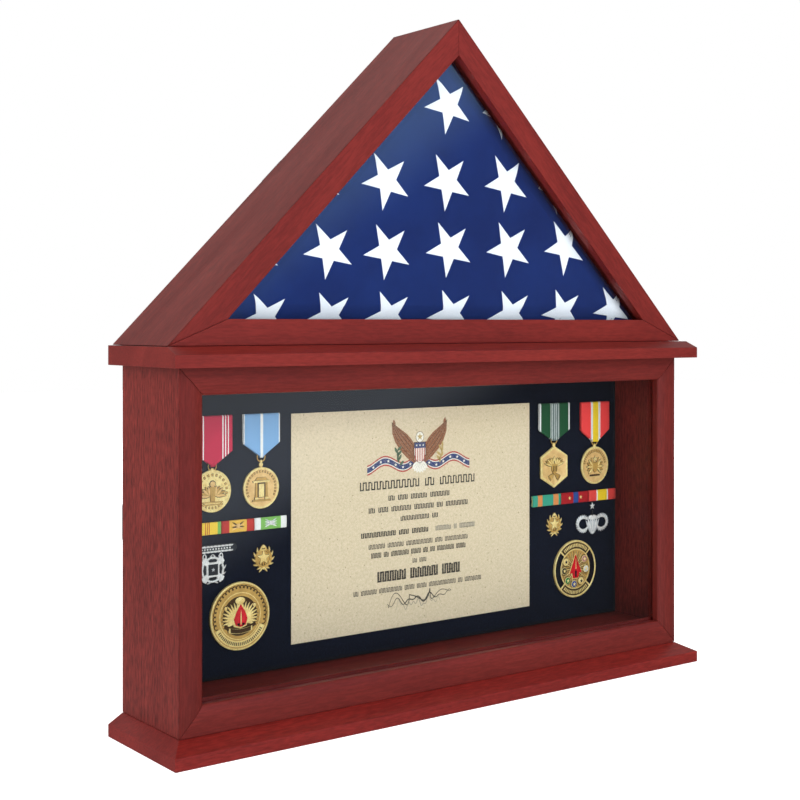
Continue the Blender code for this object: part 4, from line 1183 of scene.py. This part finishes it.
def make_left_coin():
    """Scallops round the edge, two wide sprays round an enamel drop, and a blank scroll beneath."""
    cast, radius, top = start_coin("left_coin", SHADED)
    for a in (-0.30 + (PI + 0.60) * i / 25 for i in range(26)):
        middle = polar(0.82 * radius, a)
        cast.tube([polar(2.4, a + b, *middle) for b in np.linspace(-1.7, 1.7, 7)], 0.5, top + 0.2, DARK)
    cast.band(0.73 * radius, 0.91 * radius, PI + 0.42, TAU - 0.42, top, 0.6, BRIGHT)
    cast.dashes(0.775 * radius, 0.865 * radius, 27, PI + 0.52, TAU - 0.52, top + 0.4, 0.5, DARK, 0.5)
    cast.band(0.02 * radius, 0.58 * radius, 0.0, TAU, top - 0.2, 0.3, DARK, 48)
    for side in SIDES:
        for i in range(11):
            cast.leaf(side * 2.6, -3.5, mirrored(side, math.radians(-32 + 12.5 * i)), 18.2 - 0.5 * abs(i - 5), 3.2,
                      top, 1.3, BRIGHT, 0.14 * side)
        cast.dome(side * 15.0, 8.5, 1.8, top, 1.2, BRIGHT, 12)
        tail = ((10.5, -13.0), (16.5, -9.5), (15.5, -6.0), (10.0, -9.5))
        cast.slab([(side * x, z) for x, z in tail], top, 1.2, DARK)
    cast.dome(0, 14.0, 5.8, top, 1.0, BRIGHT, 20, 0.62)
    scroll = [(12.5 * t, -11.8 - 1.8 * (1 - t * t)) for t in np.linspace(-1, 1, 13)]
    outline = [(x, z + 2.2) for x, z in scroll] + [(x, z - 2.2) for x, z in reversed(scroll)]
    cast.slab(outline, top, 1.4, BRIGHT, 0.96)
    cast.slab([(x * 0.86, z * 0.86 - 1.8) for x, z in outline], top + 0.6, 1.1, DARK, 0.97)
    cast.build("left_coin_struck", BACK, GOLDS, "gold_metal", ["left_coin"])

    enamel = Cast(cast.centre, cast.back)
    drop = [(0, 11.8), (5.0, 4.4), (7.6, -2.6), (5.6, -8.4), (0, -10.2), (-5.6, -8.4), (-7.6, -2.6), (-5.0, 4.4)]
    enamel.slab([(1.16 * x, 1.1 * z) for x, z in drop], top, 1.4, GILT)
    enamel.slab(drop, top, 1.9, RED)
    enamel.slab([(0, 6.5), (0.7, -1.0), (0.5, -7.5), (-0.5, -7.5), (-0.7, -1.0)], top + 1.4, 0.8, GILT)
    for notch in ([(-4.6, -6.4), (-1.2, -5.8), (-1.6, -9.6)], [(1.2, -5.8), (4.6, -6.4), (1.6, -9.6)]):
        enamel.slab(notch, top + 1.4, 0.7, BLACK)
    enamel.build("left_coin_enamel", BACK, ENAMELS[:3], "gold_metal")


def make_right_coin():
    """Dark enamel bands at the sides, dashed bands above and below, and a red enamel point among enamel discs."""
    cast, radius, top = start_coin("right_coin", BRIGHT)
    for turn in (PI / 2, 3 * PI / 2):
        cast.band(0.71 * radius, 0.93 * radius, turn - 0.78, turn + 0.78, top, 0.5, DARK)
        cast.dashes(0.765 * radius, 0.885 * radius, 16, turn - 0.72, turn + 0.72, top + 0.4, 0.6, BRIGHT, 0.55)
    for i in range(30):
        cast.leaf(*polar(6.0, TAU * i / 30), TAU * i / 30, 13.5, 1.2, top, 0.4, BRIGHT if i % 2 else SHADED)
    discs = ((-14.0, 8.5, GILT), (-16.5, -1.0, BLACK), (-11.5, -12.0, LEAF_GREEN), (-2.0, -16.5, BLUE),
             (8.5, -14.0, GILT), (16.0, -1.5, PALE), (13.5, 9.5, ROSE))
    for x, z, _ in discs:
        cast.dome(x, z, 4.6, top, 1.0, BRIGHT, 16)
    cast.build("right_coin_struck", BACK, GOLDS, "gold_metal", ["right_coin"])

    enamel = Cast(cast.centre, cast.back)
    for turn in (0.0, PI):
        enamel.band(0.71 * radius, 0.93 * radius, turn - 0.72, turn + 0.72, top, 0.4, BLACK)
    for x, z, tint in discs:
        enamel.slab(ring(3.5, 12, x, z), top + 0.3, 1.0, tint, 0.85)
        enamel.star(x, z, 2.6, top + 1.1, 0.6, BLACK if tint == GILT else GILT)
    point = [(0, 15.8), (9.0, -4.6), (5.2, -4.4), (4.0, -10.2), (-4.0, -10.2), (-5.2, -4.4), (-9.0, -4.6)]
    enamel.slab([(1.08 * x, 1.06 * z) for x, z in point], top, 0.8, GILT, 0.98)
    enamel.slab(point, top, 1.3, RED, 0.97)
    enamel.slab([(0, 0), (1.4, -3.0), (1.2, -8.6), (-1.2, -8.6), (-1.4, -3.0)], top + 1.1, 0.5, BLACK)
    enamel.slab([(0, 12.0), (0.6, 0), (-0.6, 0)], top + 1.1, 0.5, GILT)
    enamel.build("right_coin_enamel", BACK, ENAMELS, "gold_metal")


def make_gold_badge(node):
    """An open wreath with a star inside it and a tied foot."""
    cast, _, thick = start_cast(node, DARK)
    for side in SIDES:
        cast.spray(side, 0.4, thick - 0.6, BRIGHT, 8.4, 6, -1.35, 1.15, 0.64)
        cast.leaf(side * 0.6, -8.6, -PI / 2 + side * 0.75, 5.8, 2.4, 0.3, 1.4, BRIGHT)
    cast.tube([polar(8.0, a) for a in np.linspace(PI / 2 + 0.45, 5 * PI / 2 - 0.45, 40)], 1.1, 1.1, SHADED)
    cast.dome(0, -0.2, 7.8, 0.2, thick - 1.0, SHADED, 24)
    cast.star(0, 0.4, 7.4, 1.1, 1.1, BRIGHT)
    cast.dome(0, 10.6, 1.9, 0.4, 1.6, BRIGHT)
    cast.dome(0, -8.6, 2.0, 0.6, 1.6, BRIGHT)
    for side in SIDES:
        cast.tube([(side * 1.2, -7.0 + 2.0 * k) for k in range(4)], 0.6, 0.7, DARK)
    cast.build(node + "_cast", BACK, GOLDS, "gold_metal", [node])


def make_wings_badge(node):
    """Two feathered wings that sweep out and curl up round a fluted, tapering middle, under a star."""
    lo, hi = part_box(node)
    cast, _, thick = start_cast(node, DARK_SILVER)
    cast.centre = (cast.centre[0], lo.z + WINGS_RISE)

    def on_loop(side, a, share):
        return side * (13.8 + 9.2 * share * math.cos(a)), 0.4 + 7.6 * share * math.sin(a)

    for side in SIDES:
        cast.tube([on_loop(side, a, 0.86) for a in np.linspace(-2.75, 2.25, 30)], 1.1, 1.0, POLISHED, press=0.9)
        for i in range(17):
            a = -2.45 + 4.5 * i / 16
            cast.leaf(*on_loop(side, a, 0.80), mirrored(side, a + 1.1), 6.4, 3.0, 0.4, 1.2,
                      POLISHED if i % 2 else SATIN, 0.12 * side)
    for k in (-3, 3, -2, 2, -1, 1, 0):
        cast.leaf(0.5 * k, -11.2, PI / 2 - 0.17 * k, 19.6 - 0.6 * abs(k), 4.6, 0.7, 1.3,
                  SATIN if k % 2 else POLISHED)
    cast.dome(0, 6.6, 7.4, 0.6, 1.4, POLISHED, 20, 0.42)
    cast.dome(0, -10.0, 2.0, 0.4, 1.6, POLISHED)
    cast.tube([(0, 7.0 + 1.2 * k) for k in range(7)], 0.9, 1.0, DARK_SILVER)
    cast.star(0, (hi.z - cast.centre[1]) / MM - 4.2, 4.4, 0.3, thick - 0.4, POLISHED)
    cast.build(node + "_cast", BACK, SILVERS, "silver_metal", [node])


def make_hanging_badge(node):
    """A roped bar with two links, and a wreathed, four-armed badge with a dark square in it."""
    cast, bar_half, thick = start_cast(node, DARK_SILVER)
    cast.centre = (cast.centre[0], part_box(node)[1].z - BAR_DROP)
    outline = [(hand * (bar_half - 3.8 + 3.8 * math.cos(a)), hand * 3.8 * math.sin(a))
               for hand in (1, -1) for a in np.linspace(-PI / 2, PI / 2, 9)]
    cast.slab(outline, 0.0, thick - 0.6, DARK_SILVER, 0.97)
    reach = bar_half - 4.8
    for side in SIDES:
        cast.tube([(-reach + 2 * reach * k / 90, side * 2.3) for k in range(91)], 0.8, thick - 0.6, POLISHED,
                  twist=0.75)
    cast.block(reach, -1.4, reach, 1.4, thick - 1.2, 0.9, DARK_SILVER, 0.98)
    for k in range(13):
        cast.dome(-reach + 3.0 + k * (2 * reach - 6.0) / 12, 0, 1.0, thick - 0.6, 0.7, POLISHED, 10)
    for side in SIDES:
        cast.tube([(side * 8.5 + 1.6 * u, -7.2 + 3.0 * v) for u, v in ring(1, 16)], 0.6, 1.1, POLISHED, closed=True)
    cast.centre = (cast.centre[0], cast.centre[1] - BADGE_DROP)
    cast.plaque(circle_reach(11.2), [(1.0, 0.0, DARK_SILVER), (1.0, 0.6, DARK_SILVER), (0.9, 0.8, DARK_SILVER)], 40)
    for side in SIDES:
        cast.spray(side, 0.3, 1.5, POLISHED, 11.2, 7, -1.40, 1.30, 0.40)
    cast.tube(ring(10.8, 48), 0.9, 1.0, POLISHED, closed=True)
    arm = ((5.0, -1.8), (13.6, -3.6), (14.6, 0.0), (13.6, 3.6), (5.0, 1.8))
    for a in (PI / 4 + k * PI / 2 for k in range(4)):
        cast.slab([(u * math.cos(a) - v * math.sin(a), u * math.sin(a) + v * math.cos(a)) for u, v in arm],
                  0.2, thick - 0.6, POLISHED, 0.9)
    for half, base, high, tint in ((6.8, 0.3, thick - 0.6, POLISHED), (5.2, 1.0, thick - 1.1, DARK_SILVER)):
        cast.block(half, -half, half, half, base, high, tint, 0.92)
    cast.star(0, 0, 3.4, thick - 0.4, 0.5, SATIN)
    cast.build(node + "_cast", BACK, SILVERS, "silver_metal", [node])


def make_bar_devices():
    """Small pins on the ribbon bars: two leafy clasps on the left one, two stars on the right one."""
    lo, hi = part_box("left_ribbon_bar")
    for name, pitches, materials in (("bronze_clasp", 1.5, [bronze, dark_gold]),
                                     ("pale_clasp", 0.5, [SILVERS[POLISHED], SILVERS[SATIN]])):
        clasp = Cast((hi.x - pitches * LEFT_PITCH, (lo.z + hi.z) / 2), lo.y + DEVICE_SUNK)
        for side in SIDES:
            for k in (-1.5, -0.5, 0.5, 1.5):
                clasp.leaf(side * 0.6, 0.6 * k, mirrored(side, 0.30 * k), 6.6, 1.7, 0.0, 0.6, int(k + 1.5) % 2,
                           0.05 * side)
        clasp.slab(shield(0, 2.2, 1.8, 4.4), 0.0, 0.8, 0)
        clasp.build(name, BACK, materials, "bronze")
    lo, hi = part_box("right_ribbon_bar")
    stars = Cast(((lo.x + hi.x) / 2, (lo.z + hi.z) / 2), lo.y + DEVICE_SUNK)
    for side in SIDES:
        stars.star(side * 0.2 * RIGHT_PITCH / MM, 0, 2.4, 0.0, 0.7, 0)
    stars.build("bar_stars", BACK, [bright_gold], "bronze")


# Metres from the wings' foot to their middle, from the hanging badge's top to its bar's middle and on to its own
# middle, and from a bar's front to the backs of its pins.
WINGS_RISE, BAR_DROP, BADGE_DROP, DEVICE_SUNK = 0.0115, 0.0048, 0.0185, 0.0002
make_crimson_medal()
make_light_blue_medal()
make_green_medal()
make_red_medal()
make_left_coin()
make_right_coin()
make_gold_badge("left_gold_badge")
make_gold_badge("right_gold_badge")
make_wings_badge("silver_wings_badge")
make_hanging_badge("silver_hanging_badge")
make_bar_devices()
